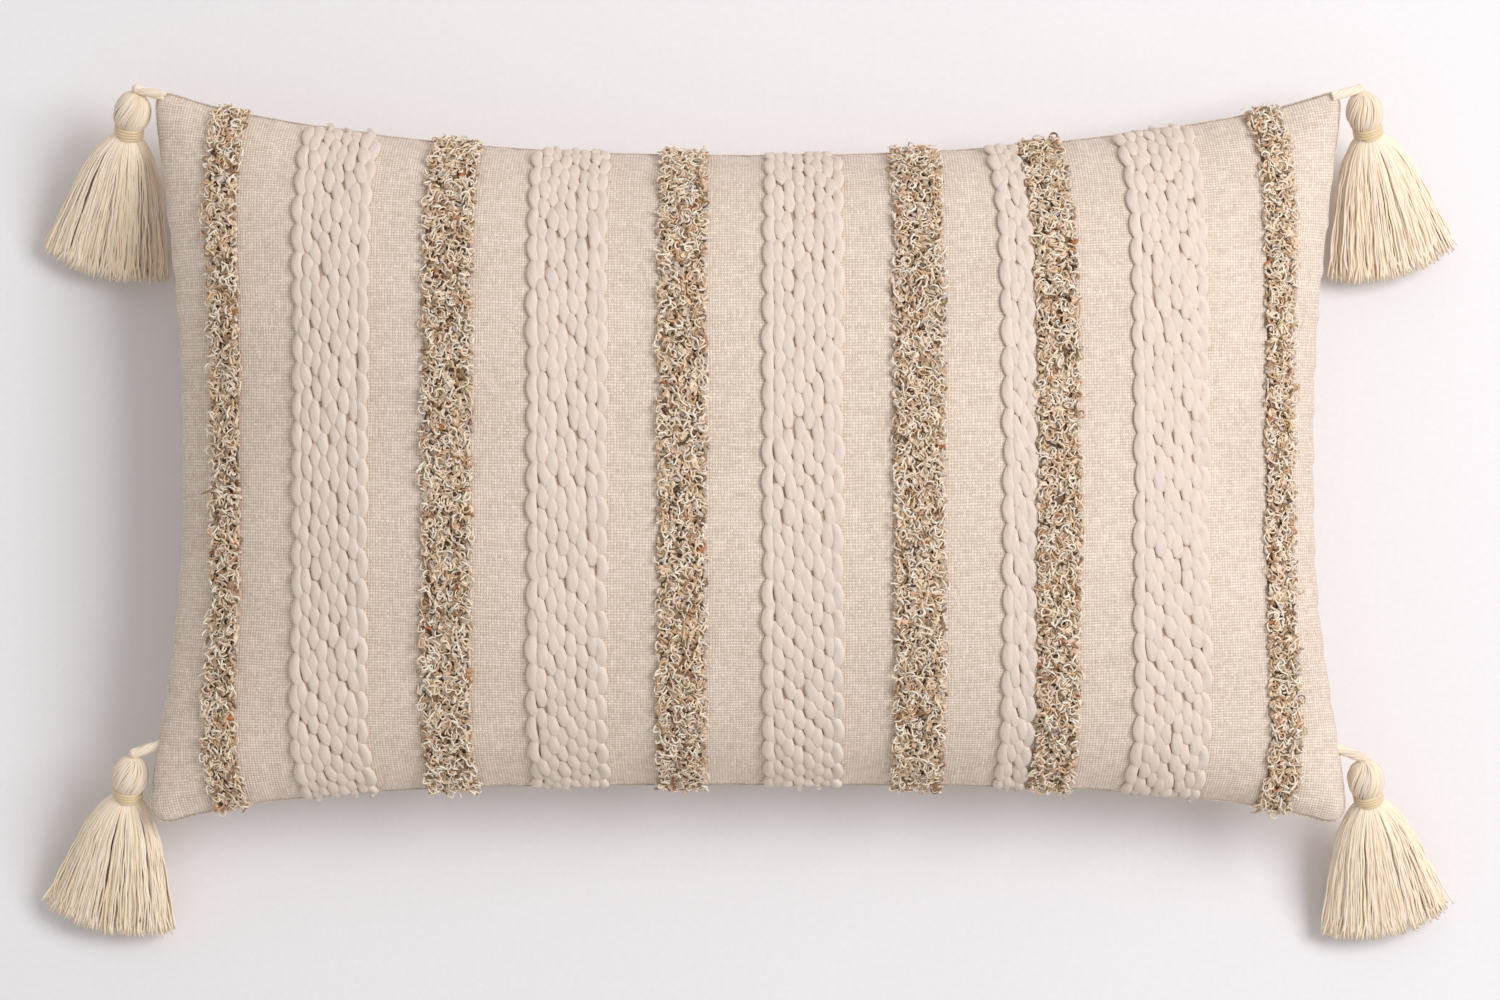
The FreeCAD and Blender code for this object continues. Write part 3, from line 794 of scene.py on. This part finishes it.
def skirt_core(hanging, rng):
    """Thicker strands inside the skirt, which fill the gaps between the outer ones; their darker brown tint is
    painted shade.
    """
    count = CORE_STRANDS
    angle = rng.uniform(0, 2 * math.pi, (count, 1))
    spread = np.sqrt(rng.uniform(0.02, 0.62, (count, 1)))
    share = np.linspace(0, 1, 12)[None, :]
    depth = SKIRT_TOP - 2.5 + share * (SKIRT_END - 5.5 - SKIRT_TOP)
    half_width, half_thickness = skirt_size(depth)
    paths = hanging.at(depth, spread * half_width * np.cos(angle), spread * half_thickness * np.sin(angle))
    radii = 0.5 + rng.uniform(1.0, 1.4, (count, 1)) * share
    paths[..., 2] = np.maximum(paths[..., 2], radii + 0.4)
    # darker and browner than the outer strands: painted shade inside the skirt
    return paths, radii, 6, tassel_yarn_colours(rng, count) * np.array([0.86, 0.78, 0.66]), 1.0


def tassel_hank(corner, seed):
    """Head strands over a round core, and the skirt's loose strands down to their cut ends."""
    rng = np.random.default_rng(seed)
    hanging = Hanging(corner)
    half = (BINDING_TOP - HEAD_TOP + 0.9) / (1 + math.cos(math.pi - NECK_LATITUDE))
    middle = HEAD_TOP + half

    share = np.linspace(0, 1, 24)[None, :]
    # the first 82% of a head strand runs over the ball, and the rest down under the binding
    latitude = np.minimum(0.04 + (NECK_LATITUDE - 0.04) * share / 0.82, NECK_LATITUDE)
    below = np.maximum(share - 0.82, 0) / 0.18 * BINDING_LENGTH
    one_each = (HEAD_STRANDS, 1)
    around = (np.arange(HEAD_STRANDS) * 2 * math.pi / HEAD_STRANDS)[:, None]
    around = around + 0.45 * latitude + rng.normal(0, 0.022, one_each)
    around = around + 0.035 * np.sin(latitude * rng.uniform(2, 5, one_each) + rng.uniform(0, 6.28, one_each))
    ball = HEAD_RADIUS - 0.50 + rng.normal(0, 0.13, one_each)
    radial = ball * np.sin(latitude)
    head_paths = hanging.at(middle - (half - 0.4) * np.cos(latitude) + below,
                            radial * np.cos(around), radial * np.sin(around))
    head_radii = np.clip(radial * math.pi / HEAD_STRANDS * 1.35, 0.22, 0.56)

    one_each = (SKIRT_STRANDS, 1)
    angle = rng.uniform(0, 2 * math.pi, one_each)
    # most of the skirt's strands lie near its outside, and the others anywhere within it
    spread = np.where(rng.uniform(0, 1, one_each) < 0.62, rng.uniform(0.88, 1.0, one_each),
                      np.sqrt(rng.uniform(0.02, 0.80, one_each)))
    end = SKIRT_END - 1.0 - 5.0 * (np.cos(angle) * spread) ** 2 * rng.uniform(0.7, 1.1, one_each)
    end = end + rng.normal(0, 1.0, one_each).clip(-3.5, 1.4)
    top = SKIRT_TOP - 2.5
    share = np.linspace(0, 1, 25)[None, :]
    depth = top + share * (end - top)
    half_width, half_thickness = skirt_size(depth)

    def crimp(size):
        """Each strand's own small waves, fewer than its points can follow."""
        turns = rng.uniform(14, 34, one_each)
        return size * np.sin(share * turns + rng.uniform(0, 6.28, one_each))

    wander = rng.normal(0, 1.2, one_each) * share ** 1.6
    drift = 0.55 * np.sin(share * rng.uniform(3, 8, one_each) + rng.uniform(0, 6.28, one_each)) * share
    curl = rng.normal(0, 1.1, one_each) * np.maximum(share - 0.86, 0) / 0.14
    fade = np.minimum(share * 5, 1)
    clump = 0.05 * np.sin(7 * angle + 1.3) * share
    across = spread * half_width * np.cos(angle + clump) + wander + drift + crimp(0.20) * fade + curl
    out = spread * half_thickness * np.sin(angle + clump) + drift * 0.5 + crimp(0.16) * fade
    skirt_paths = hanging.at(depth, across, out)
    skirt_radii = rng.uniform(0.36, 0.46, one_each) * np.ones_like(share)
    floor = skirt_radii + 0.15
    z = skirt_paths[..., 2]
    skirt_paths[..., 2] = floor + np.where(z > floor + 2, z - floor, 2 * np.exp((np.minimum(z - floor, 2) - 2) / 2))

    core_lat = np.linspace(0.05, NECK_LATITUDE, 14)
    core_path = hanging.at(middle - (half - 0.9) * np.cos(core_lat), 0.0, 0.0)[None]
    core_radii = ((HEAD_RADIUS - 0.80) * np.sin(core_lat))[None]
    return tube_piece("tassel_%s_yarn" % corner, [
        # the head's round core, tinted darker tan: painted shade where it shows between the head strands
        (core_path, core_radii, 24, tassel_yarn_colours(rng, 1) * np.array([0.92, 0.82, 0.68]), 1.0),
        skirt_core(hanging, rng),
        (head_paths, head_radii, 7, tassel_yarn_colours(rng, HEAD_STRANDS) * 0.9, 1.0),
        (skirt_paths, skirt_radii, 5, tassel_yarn_colours(rng, SKIRT_STRANDS), 1.0),
    ])


def tassel_binding(corner, seed):
    """Satin cord wound in three close turns round the neck."""
    rng = np.random.default_rng(seed)
    hanging = Hanging(corner)
    turns, per_turn = 3.4, 40
    a = np.linspace(0, turns * 2 * math.pi, int(turns * per_turn))
    depth = BINDING_TOP + 0.3 + (BINDING_LENGTH - 0.6) * a / a[-1]
    radius = NECK_RADIUS + 0.50 + 0.06 * np.sin(a * 1.3 + rng.uniform(0, 6))
    radius[:6] -= np.linspace(0.8, 0, 6)
    radius[-6:] -= np.linspace(0, 0.8, 6)
    path = hanging.at(depth, radius * np.cos(a), radius * np.sin(a))[None]
    return tube_piece("tassel_%s_binding" % corner, [(path, 0.80, 10, np.ones((1, 3)), 1.0)])


def tassel_cord(corner, seed):
    """The gathered stub of yarns from the seam to the top of the head."""
    rng = np.random.default_rng(seed)
    start, end = tassel_joint("swing", corner)[0], tassel_joint("lift", corner)[0]
    ahead = unit(end - start)
    begin = start - ahead * CORD_INSIDE
    finish = end + ahead * 0.6
    side = unit(np.cross(ahead, [0, 0, 1.0]))
    above = np.cross(side, ahead)
    steps, plies = 18, 6
    x = np.linspace(0, 1, steps)
    paths, radii = [], []
    for ply in range(plies):
        turn = 2 * math.pi * (ply / plies + 0.55 * x) + rng.uniform(-0.2, 0.2)
        reach = 1.35 - 0.20 * np.sin(math.pi * x) + 0.12 * np.sin(x * rng.uniform(6, 12) + rng.uniform(0, 6))
        line = begin + (finish - begin) * x[:, None]
        line = line + side * (reach * np.cos(turn))[:, None] + above * (reach * np.sin(turn))[:, None]
        paths.append(line)
        radii.append(0.86 - 0.06 * np.cos(2 * math.pi * x))
    groups = [(np.array(paths), np.array(radii), 8, tassel_yarn_colours(rng, plies) * 0.95, 1.0)]
    knot = np.linspace(-1.9, 1.9, 9)
    knot_path = end + ahead * knot[:, None]
    groups.append((knot_path[None], np.sqrt(np.maximum(2.0 ** 2 - knot ** 2, 0.25))[None] * 0.95, 12,
                   tassel_yarn_colours(rng, 1) * 0.9, 1.0))
    return tube_piece("tassel_%s_cord" % corner, groups)


# ======== zip


def zip_coil(name, node, side):
    """Half of a nylon coil: a flattened spiral along the tape's edge."""
    low, high = (np.array(c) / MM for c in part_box(node))
    pitch, per_turn = 1.3, 10
    turns = (high[0] - low[0]) / pitch
    a = np.linspace(0, turns * 2 * math.pi, int(turns * per_turn))
    x = low[0] + (high[0] - low[0]) * a / a[-1] + (pitch / 2 if side > 0 else 0) - pitch / 4
    y = (low[1] + high[1]) / 2 + 0.62 * np.cos(a)
    middle = SEAM_Z + side * 1.05
    z = middle + side * 1.05 * np.sin(a)
    return tube_piece(name, [(np.stack([x, y, z], -1)[None], 0.3, 5, np.ones((1, 3)), 1.0)])


# ======== materials


class Nodes:
    """A short way to write a material's nodes."""

    def __init__(self, name):
        self.material = bpy.data.materials.new(name)
        self.material.use_nodes = True
        self.tree = self.material.node_tree
        self.shader = self.tree.nodes["Principled BSDF"]

    def put(self, socket, value):
        if isinstance(value, bpy.types.NodeSocket):
            self.tree.links.new(value, socket)
        else:
            socket.default_value = value

    def add(self, kind, inputs=(), **settings):
        """A new node, with its first inputs and its settings."""
        node = self.tree.nodes.new("ShaderNode" + kind)
        for setting, value in settings.items():
            setattr(node, setting, value)
        for socket, value in zip(node.inputs, inputs):
            self.put(socket, value)
        return node

    def math(self, operation, a, b=0.0, c=0.0):
        return self.add("Math", (a, b, c), operation=operation).outputs[0]

    def times(self, a, b):
        return self.math("MULTIPLY", a, b)

    def plus(self, a, b):
        return self.math("ADD", a, b)

    def mad(self, a, b, c):
        """a times b, plus c."""
        return self.math("MULTIPLY_ADD", a, b, c)

    def varied(self, value, noise, amount):
        """The value, moved up and down with a noise from 0 to 1."""
        return self.mad(self.math("SUBTRACT", noise, 0.5), amount, value)

    def uv(self):
        place = self.add("UVMap", uv_map="cloth").outputs[0]
        return self.add("SeparateXYZ", (place,)).outputs[:2]

    def vector(self, x, y, z=0.0):
        return self.add("CombineXYZ", (x, y, z)).outputs[0]

    def scaled(self, x, y, by_x, by_y, z=0.0):
        return self.vector(self.times(x, by_x), self.times(y, by_y), z)

    def position(self):
        return self.add("TexCoord").outputs["Object"]

    def noise(self, vector, scale=1.0, detail=2.0, rough=0.5):
        node = self.add("TexNoise", (vector,))
        node.inputs["Scale"].default_value = scale
        node.inputs["Detail"].default_value = detail
        node.inputs["Roughness"].default_value = rough
        return node.outputs["Fac"]

    def white(self, vector):
        return self.add("TexWhiteNoise", (vector,), noise_dimensions="3D").outputs["Value"]

    def ramp(self, factor, *stops):
        node = self.add("ValToRGB", (factor,))
        ramp = node.color_ramp
        while len(ramp.elements) < len(stops):
            ramp.elements.new(0.5)
        for element, (place, colour) in zip(ramp.elements, stops):
            element.position = place
            element.color = (*colour, 1.0)
        return node.outputs[0]

    def tinted(self, colour):
        """The colour multiplied by each strand's own tint."""
        node = self.add("Mix", (1.0,), data_type="RGBA", blend_type="MULTIPLY")
        self.put(node.inputs[6], colour)
        self.put(node.inputs[7], self.add("Attribute", attribute_name="tint").outputs["Color"])
        return node.outputs[2]

    def bump(self, height, distance, strength=1.0):
        node = self.add("Bump")
        node.inputs["Strength"].default_value = strength
        node.inputs["Distance"].default_value = distance * MM
        self.put(node.inputs["Height"], height)
        self.put(self.shader.inputs["Normal"], node.outputs[0])

    def finish(self, colour, roughness, sheen=0.0, metallic=0.0, specular=0.3, sheen_roughness=0.5,
               sheen_tint=(1.0, 1.0, 1.0)):
        shader = self.shader.inputs
        self.put(shader["Base Color"], colour if isinstance(colour, bpy.types.NodeSocket) else (*colour, 1.0))
        self.put(shader["Roughness"], roughness)
        shader["Metallic"].default_value = metallic
        shader["Sheen Weight"].default_value = sheen
        shader["Sheen Roughness"].default_value = sheen_roughness
        shader["Sheen Tint"].default_value = (*sheen_tint, 1.0)
        shader["Specular IOR Level"].default_value = specular
        return self.material


def weave_height(n, s, t):
    """Plain weave: warp and weft threads that pass over and under each other."""
    a = n.math("SINE", n.times(s, math.pi / WEAVE_PITCH))
    b = n.math("SINE", n.times(t, math.pi / WEAVE_PITCH))
    crossing = n.times(n.times(a, b), 0.45)
    warp = n.plus(n.math("POWER", n.math("ABSOLUTE", a), 0.7), crossing)
    weft = n.math("SUBTRACT", n.math("POWER", n.math("ABSOLUTE", b), 0.7), crossing)
    return n.math("MAXIMUM", warp, weft), n.math("GREATER_THAN", warp, weft)


WEAVE_PITCH = 1.18       # millimetres from thread to thread
WEAVE_CONTRAST = 0.82


def linen(name, base, dark):
    """Slubby linen-like plain weave in the panel's own flat coordinates."""
    n = Nodes(name)
    u, v = n.uv()
    s = n.times(u, 2 * HALF_S)
    t = n.times(v, 2 * HALF_T)
    drift = n.noise(n.scaled(s, t, 0.06, 0.06), 1.0, 2.0)
    drift = n.times(n.math("SUBTRACT", drift, 0.5), 1.1)
    s2, t2 = n.plus(s, drift), n.plus(t, drift)
    height, warp_on_top = weave_height(n, s2, t2)
    warp_number = n.math("FLOOR", n.math("DIVIDE", s2, WEAVE_PITCH))
    weft_number = n.math("FLOOR", n.math("DIVIDE", t2, WEAVE_PITCH))
    slub_warp = n.noise(n.scaled(warp_number, t, 3.17, 0.16, 1.0), 1.0, 2.0)
    slub_weft = n.noise(n.scaled(s, weft_number, 0.13, 2.71, 5.0), 1.0, 2.0)
    slub = n.plus(n.times(slub_warp, warp_on_top),
                  n.times(slub_weft, n.math("SUBTRACT", 1.0, warp_on_top)))
    fibre = n.noise(n.scaled(s, t, 2.3, 2.3, 9.0), 1.0, 3.0, 0.6)
    blotch = n.noise(n.scaled(s, t, 0.02, 0.02, 3.0), 1.0, 2.0)
    cell = n.white(n.vector(warp_number, weft_number, 2.0))
    # the weave's low points, the hollows between threads, are painted darker as shade; cell, slub, fibre and blotch
    # are the yarn's own tone
    shade = n.mad(height, 0.36 * WEAVE_CONTRAST, 0.24)
    shade = n.varied(shade, cell, 0.13 * WEAVE_CONTRAST)
    shade = n.varied(shade, slub, 0.7 * WEAVE_CONTRAST)
    shade = n.varied(shade, fibre, 0.8 * WEAVE_CONTRAST)
    shade = n.varied(shade, blotch, 0.15)
    middle = tuple((a + b) / 2 for a, b in zip(base, dark))
    light = tuple(min(1.0, a * 1.10) for a in base)
    colour = n.ramp(shade, (0.0, dark), (0.42, middle), (0.72, tuple(base)), (1.0, light))
    relief = n.plus(height, n.times(slub, 0.8))
    relief = n.plus(relief, n.times(fibre, 0.3))
    n.bump(relief, 0.28, 0.75)
    return n.finish(colour, 0.88, sheen=0.12, specular=0.2)


def yarn(name, base, sheen=0.2, roughness=0.85, twist=3.0, ply=0.3, relief=0.2, dark=0.62):
    """Soft yarn: fibres and plies that wind along each strand, tinted strand by strand."""
    n = Nodes(name)
    u, v = n.uv()
    spiral = n.mad(v, twist, u)
    fibre = n.noise(n.scaled(spiral, v, 11.0, 2.5), 1.0, 3.0, 0.6)
    plies = n.math("SINE", n.times(spiral, 4 * math.pi))
    fluff = n.noise(n.position(), 1300.0, 3.0, 0.6)
    shade = n.varied(0.66, fibre, 0.6)
    # the grooves between plies are painted darker as shade, on the same wave as their bump
    shade = n.mad(plies, 0.35 * ply, shade)
    shade = n.varied(shade, fluff, 0.4)
    low = tuple(c * dark * warmth for c, warmth in zip(base, (1.0, 0.94, 0.86)))
    high = tuple(min(1.0, c * 1.06) for c in base)
    colour = n.ramp(shade, (0.0, low), (0.6, tuple(base)), (1.0, high))
    colour = n.tinted(colour)
    height = n.mad(plies, ply, fibre)
    height = n.mad(fluff, 0.6, height)
    n.bump(height, relief, 0.7)
    return n.finish(colour, roughness, sheen=sheen, specular=0.25, sheen_tint=(1.0, 0.84, 0.66))


def loop_yarn():
    """Fine mixed yarns, all of their colour from the strands' own tints."""
    n = Nodes("loop_yarn")
    fluff = n.noise(n.position(), 2500.0, 2.0, 0.6)
    shade = n.ramp(fluff, (0.25, (0.80, 0.79, 0.77)), (0.75, (1.0, 1.0, 1.0)))
    colour = n.tinted(shade)
    n.bump(fluff, 0.08, 0.6)
    return n.finish(colour, 0.6, sheen=0.1, specular=0.4)


def plain_fibre(name, colour, scale, depth):
    """Soft non-woven or fibre wadding in the object's own coordinates."""
    n = Nodes(name)
    coarse = n.noise(n.position(), scale, 5.0, 0.65)
    dark = tuple(c * 0.8 for c in colour)
    shade = n.ramp(coarse, (0.3, dark), (0.7, tuple(colour)))
    n.bump(coarse, depth, 0.7)
    return n.finish(shade, 0.9, sheen=0.2, specular=0.2)


def tape_cloth(name):
    """Close twill of a zip tape."""
    n = Nodes(name)
    split = n.add("SeparateXYZ", (n.position(),))
    along = n.times(split.outputs[0], 1000 * 2 * math.pi / 0.9)
    across = n.times(split.outputs[2], 1000 * 2 * math.pi / 0.9)
    zigzag = n.math("ABSOLUTE", n.math("SINE", n.times(across, 0.25)))
    twill = n.math("SINE", n.mad(zigzag, 5.0, along))
    base = srgb(205, 190, 168)
    # the twill's grooves are painted darker as shade, on the same wave as its bump
    colour = n.ramp(n.mad(twill, 0.5, 0.5), (0.0, base * 0.72), (1.0, base))
    n.bump(twill, 0.1, 0.7)
    return n.finish(colour, 0.8, sheen=0.1)


def nylon(name):
    n = Nodes(name)
    wear = n.noise(n.position(), 700.0, 2.0)
    base = srgb(214, 198, 174)
    colour = n.ramp(wear, (0.3, base * 0.85), (0.7, base))
    roughness = n.mad(wear, 0.2, 0.28)
    n.bump(wear, 0.02, 0.5)
    return n.finish(colour, roughness, specular=0.5)


def zip_metal(name):
    """Plated metal with fine scratches and slightly rubbed tone."""
    n = Nodes(name)
    scratch = n.noise(n.position(), 1800.0, 4.0, 0.7)
    worn = n.noise(n.position(), 220.0, 3.0)
    base = srgb(186, 176, 160)
    colour = n.ramp(worn, (0.3, base * 0.8), (0.75, base))
    roughness = n.mad(scratch, 0.25, 0.2)
    n.bump(scratch, 0.015, 0.5)
    return n.finish(colour, roughness, metallic=1.0, specular=0.5)


def satin(name):
    """Smooth shiny thread with fine filaments."""
    n = Nodes(name)
    u, v = n.uv()
    filament = n.noise(n.scaled(u, v, 30.0, 1.5), 1.0, 2.0)
    base = srgb(238, 213, 170)
    colour = n.ramp(filament, (0.3, base * 0.74), (0.7, base))
    roughness = n.mad(filament, 0.2, 0.3)
    n.bump(filament, 0.06, 0.6)
    return n.finish(colour, roughness, sheen=0.3, specular=0.6, sheen_roughness=0.3)


# ======== assembly


def coat(piece, material):
    piece.data.materials.clear()
    piece.data.materials.append(material)


def dress(piece, material, slot, *nodes, body="pillow"):
    """Gives a piece its material and body, and hides the CAD nodes that it stands for; the slot argument is not used.
    """
    coat(piece, material)
    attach(piece, body)
    if nodes:
        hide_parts(*nodes)
    return piece


COVER = linen("cover_linen", srgb(244, 228, 212), srgb(172, 148, 126))
BRAID = yarn("braid_yarn", srgb(228, 212, 198), sheen=0.15, twist=0.2, ply=0.6, relief=0.45, dark=0.80)
LOOPS = loop_yarn()
THREAD = yarn("cover_thread", srgb(216, 198, 178), relief=0.05)
ZIP_THREAD = yarn("zip_thread", srgb(222, 206, 184), relief=0.05)
TASSEL = yarn("tassel_yarn", (1.0, 1.0, 1.0), roughness=0.65, twist=1.5, ply=0.12, relief=0.06, dark=0.9)
BINDING = satin("tassel_binding")
INSERT = plain_fibre("insert_cloth", srgb(238, 236, 232), 1400.0, 0.12)
FILL = plain_fibre("insert_fill", srgb(244, 244, 242), 160.0, 1.2)
TAPE = tape_cloth("zip_tape")
COIL = nylon("zip_coil")
METAL = zip_metal("zip_metal")

front_grid, back_grid = start_grid(FRONT_CROWN), start_grid(-BACK_CROWN)
front_grid, back_grid = inflate(front_grid, back_grid)
front = Panel(front_grid, 1)
back = Panel(back_grid, -1)
for panel, seed in ((front, 11), (back, 17)):
    bulge_sides(panel)
    blunt_corners(panel)
    pucker(panel, seed)
    open_lip(panel)
rest_on_floor(back)
SIDES = (("front", front), ("back", back))

for side, panel in SIDES:
    cloth = panel_piece("cover_%s_cloth" % side, panel, 0.0, CLOTH_THICKNESS)
    dress(cloth, COVER, "cover_cloth", "cover_" + side)
for side, panel in SIDES:
    dress(hem_piece("cover_%s_hem" % side, panel), COVER, "cover_cloth")
dress(seam_thread("cover_seam_stitches", front, back), THREAD, "cover_thread", "cover_seam_thread")
dress(zip_stitches("zip_seam_stitches", front, back), ZIP_THREAD, "cover_thread")

# each braid: its name, its middle, columns of stitches and their spacing, edge, seed and ground's width
braids = [("braid_wide_%d" % number, trim, 6, 4.0, 12.0, 100 + number, 27.0)
          for number, trim in enumerate(WIDE_BRAIDS, 1)]
braids.append(("braid_narrow", NARROW_BRAID, 2, 3.0, 2.6, 105, 8.0))
for node, trim, columns, spacing, edge, seed, ground_width in braids:
    dress(braid(node + "_yarn", front, trim, columns, spacing, edge, seed), BRAID, "braid_yarn", node)
    # the ground strip under the braid is tinted darker: painted shade between the stitches
    dress(ground(node + "_shade_ground", front, trim, ground_width, 0.7, BRAID_GROUND_SHADE), BRAID, "braid_yarn")
for number, (trim, width) in enumerate(zip(LOOP_STRIPES, LOOP_WIDTHS), 1):
    node = "loop_stripe_%d" % number
    dress(loop_stripe(node + "_pile", front, trim, width, 200 + number), LOOPS, "loop_yarn", node)
    # the ground strip under the loops is dark brown: painted shade in the gaps, with the under-yarn's brown
    dress(ground(node + "_shade_ground", front, trim, width - 3.0, 0.4, LOOP_GROUND_SHADE), LOOPS, "loop_yarn")

for side, panel in SIDES:
    cloth = panel_piece("insert_%s_cloth" % side, panel, INSERT_OUTER, INSERT_INNER, INSERT_SHRINK)
    dress(cloth, INSERT, "insert_cloth", "insert_" + side)
dress(fill_piece("insert_fibre", front, back), FILL, "insert_fill", "insert_fill")

for material, nodes in (
    (TAPE, ("zip_tape_front", "zip_tape_back")),
    (METAL, ("zip_top_stops", "zip_bottom_stop", "zip_slider", "zip_pull")),
    (INSERT, ("insert_seam_thread",)),
):
    for node in nodes:
        coat(frame["nodes"][node], material)
for side, panel in SIDES:
    node = "zip_coil_" + side
    dress(zip_coil(node + "_teeth", node, panel.side), COIL, "zip_coil", node)

for number, corner in enumerate(CORNERS):
    tassel = "tassel_" + corner
    dress(tassel_hank(corner, 300 + number), TASSEL, "tassel_yarn", "tassel_hank_" + corner, body=tassel)
    dress(tassel_binding(corner, 310 + number), BINDING, "tassel_binding", "tassel_binding_" + corner, body=tassel)
    dress(tassel_cord(corner, 320 + number), TASSEL, "tassel_cord", "tassel_cord_" + corner, body="cord_" + corner)


# ======== floor, light and camera

FLOOR_HALF = 4000.0
floor = new_mesh("floor", FLOOR_HALF * np.array([(-1, -1, 0), (1, -1, 0), (1, 1, 0), (-1, 1, 0)]),
                 [np.array([[0, 1, 2, 3]])], smooth=False)
paper = Nodes("floor_paper")
grain = paper.noise(paper.position(), 400.0, 3.0)
paper_tone = paper.ramp(grain, (0.2, srgb(236, 232, 232)), (0.8, srgb(240, 236, 236)))
floor.data.materials.append(paper.finish(paper_tone, 0.9, specular=0.1))

scene = bpy.context.scene
scene.view_settings.view_transform = "Standard"
world = bpy.data.worlds.new("studio")
scene.world = world
world.use_nodes = True
world.node_tree.nodes["Background"].inputs[0].default_value = (1.0, 0.99, 0.985, 1.0)
world.node_tree.nodes["Background"].inputs[1].default_value = 0.555

key_data = bpy.data.lights.new("key", "AREA")
key_data.shape = "SQUARE"
key_data.size = 1.1
key_data.energy = 35.0
key_data.color = (1.0, 1.005, 1.05)
key = bpy.data.objects.new("key", key_data)
scene.collection.objects.link(key)
key.location = (1.28, 0.48, 1.9)
aim = Vector((0.0, 0.0, 0.04)) - key.location
key.rotation_euler = aim.to_track_quat("-Z", "Y").to_euler()

CAMERA_HEIGHT = 2.0
FRAME_WIDTH = 0.630      # what the picture's width spans in the seam's plane
SENSOR = 36.0
camera_data = bpy.data.cameras.new("camera")
camera_data.sensor_width = SENSOR
camera_data.lens = SENSOR * (CAMERA_HEIGHT - SEAM_Z * MM) / FRAME_WIDTH
camera = bpy.data.objects.new("camera", camera_data)
scene.collection.objects.link(camera)
camera.location = (0.0008, -0.0126, CAMERA_HEIGHT)
camera.rotation_euler = (0.0, 0.0, 0.0)
scene.camera = camera
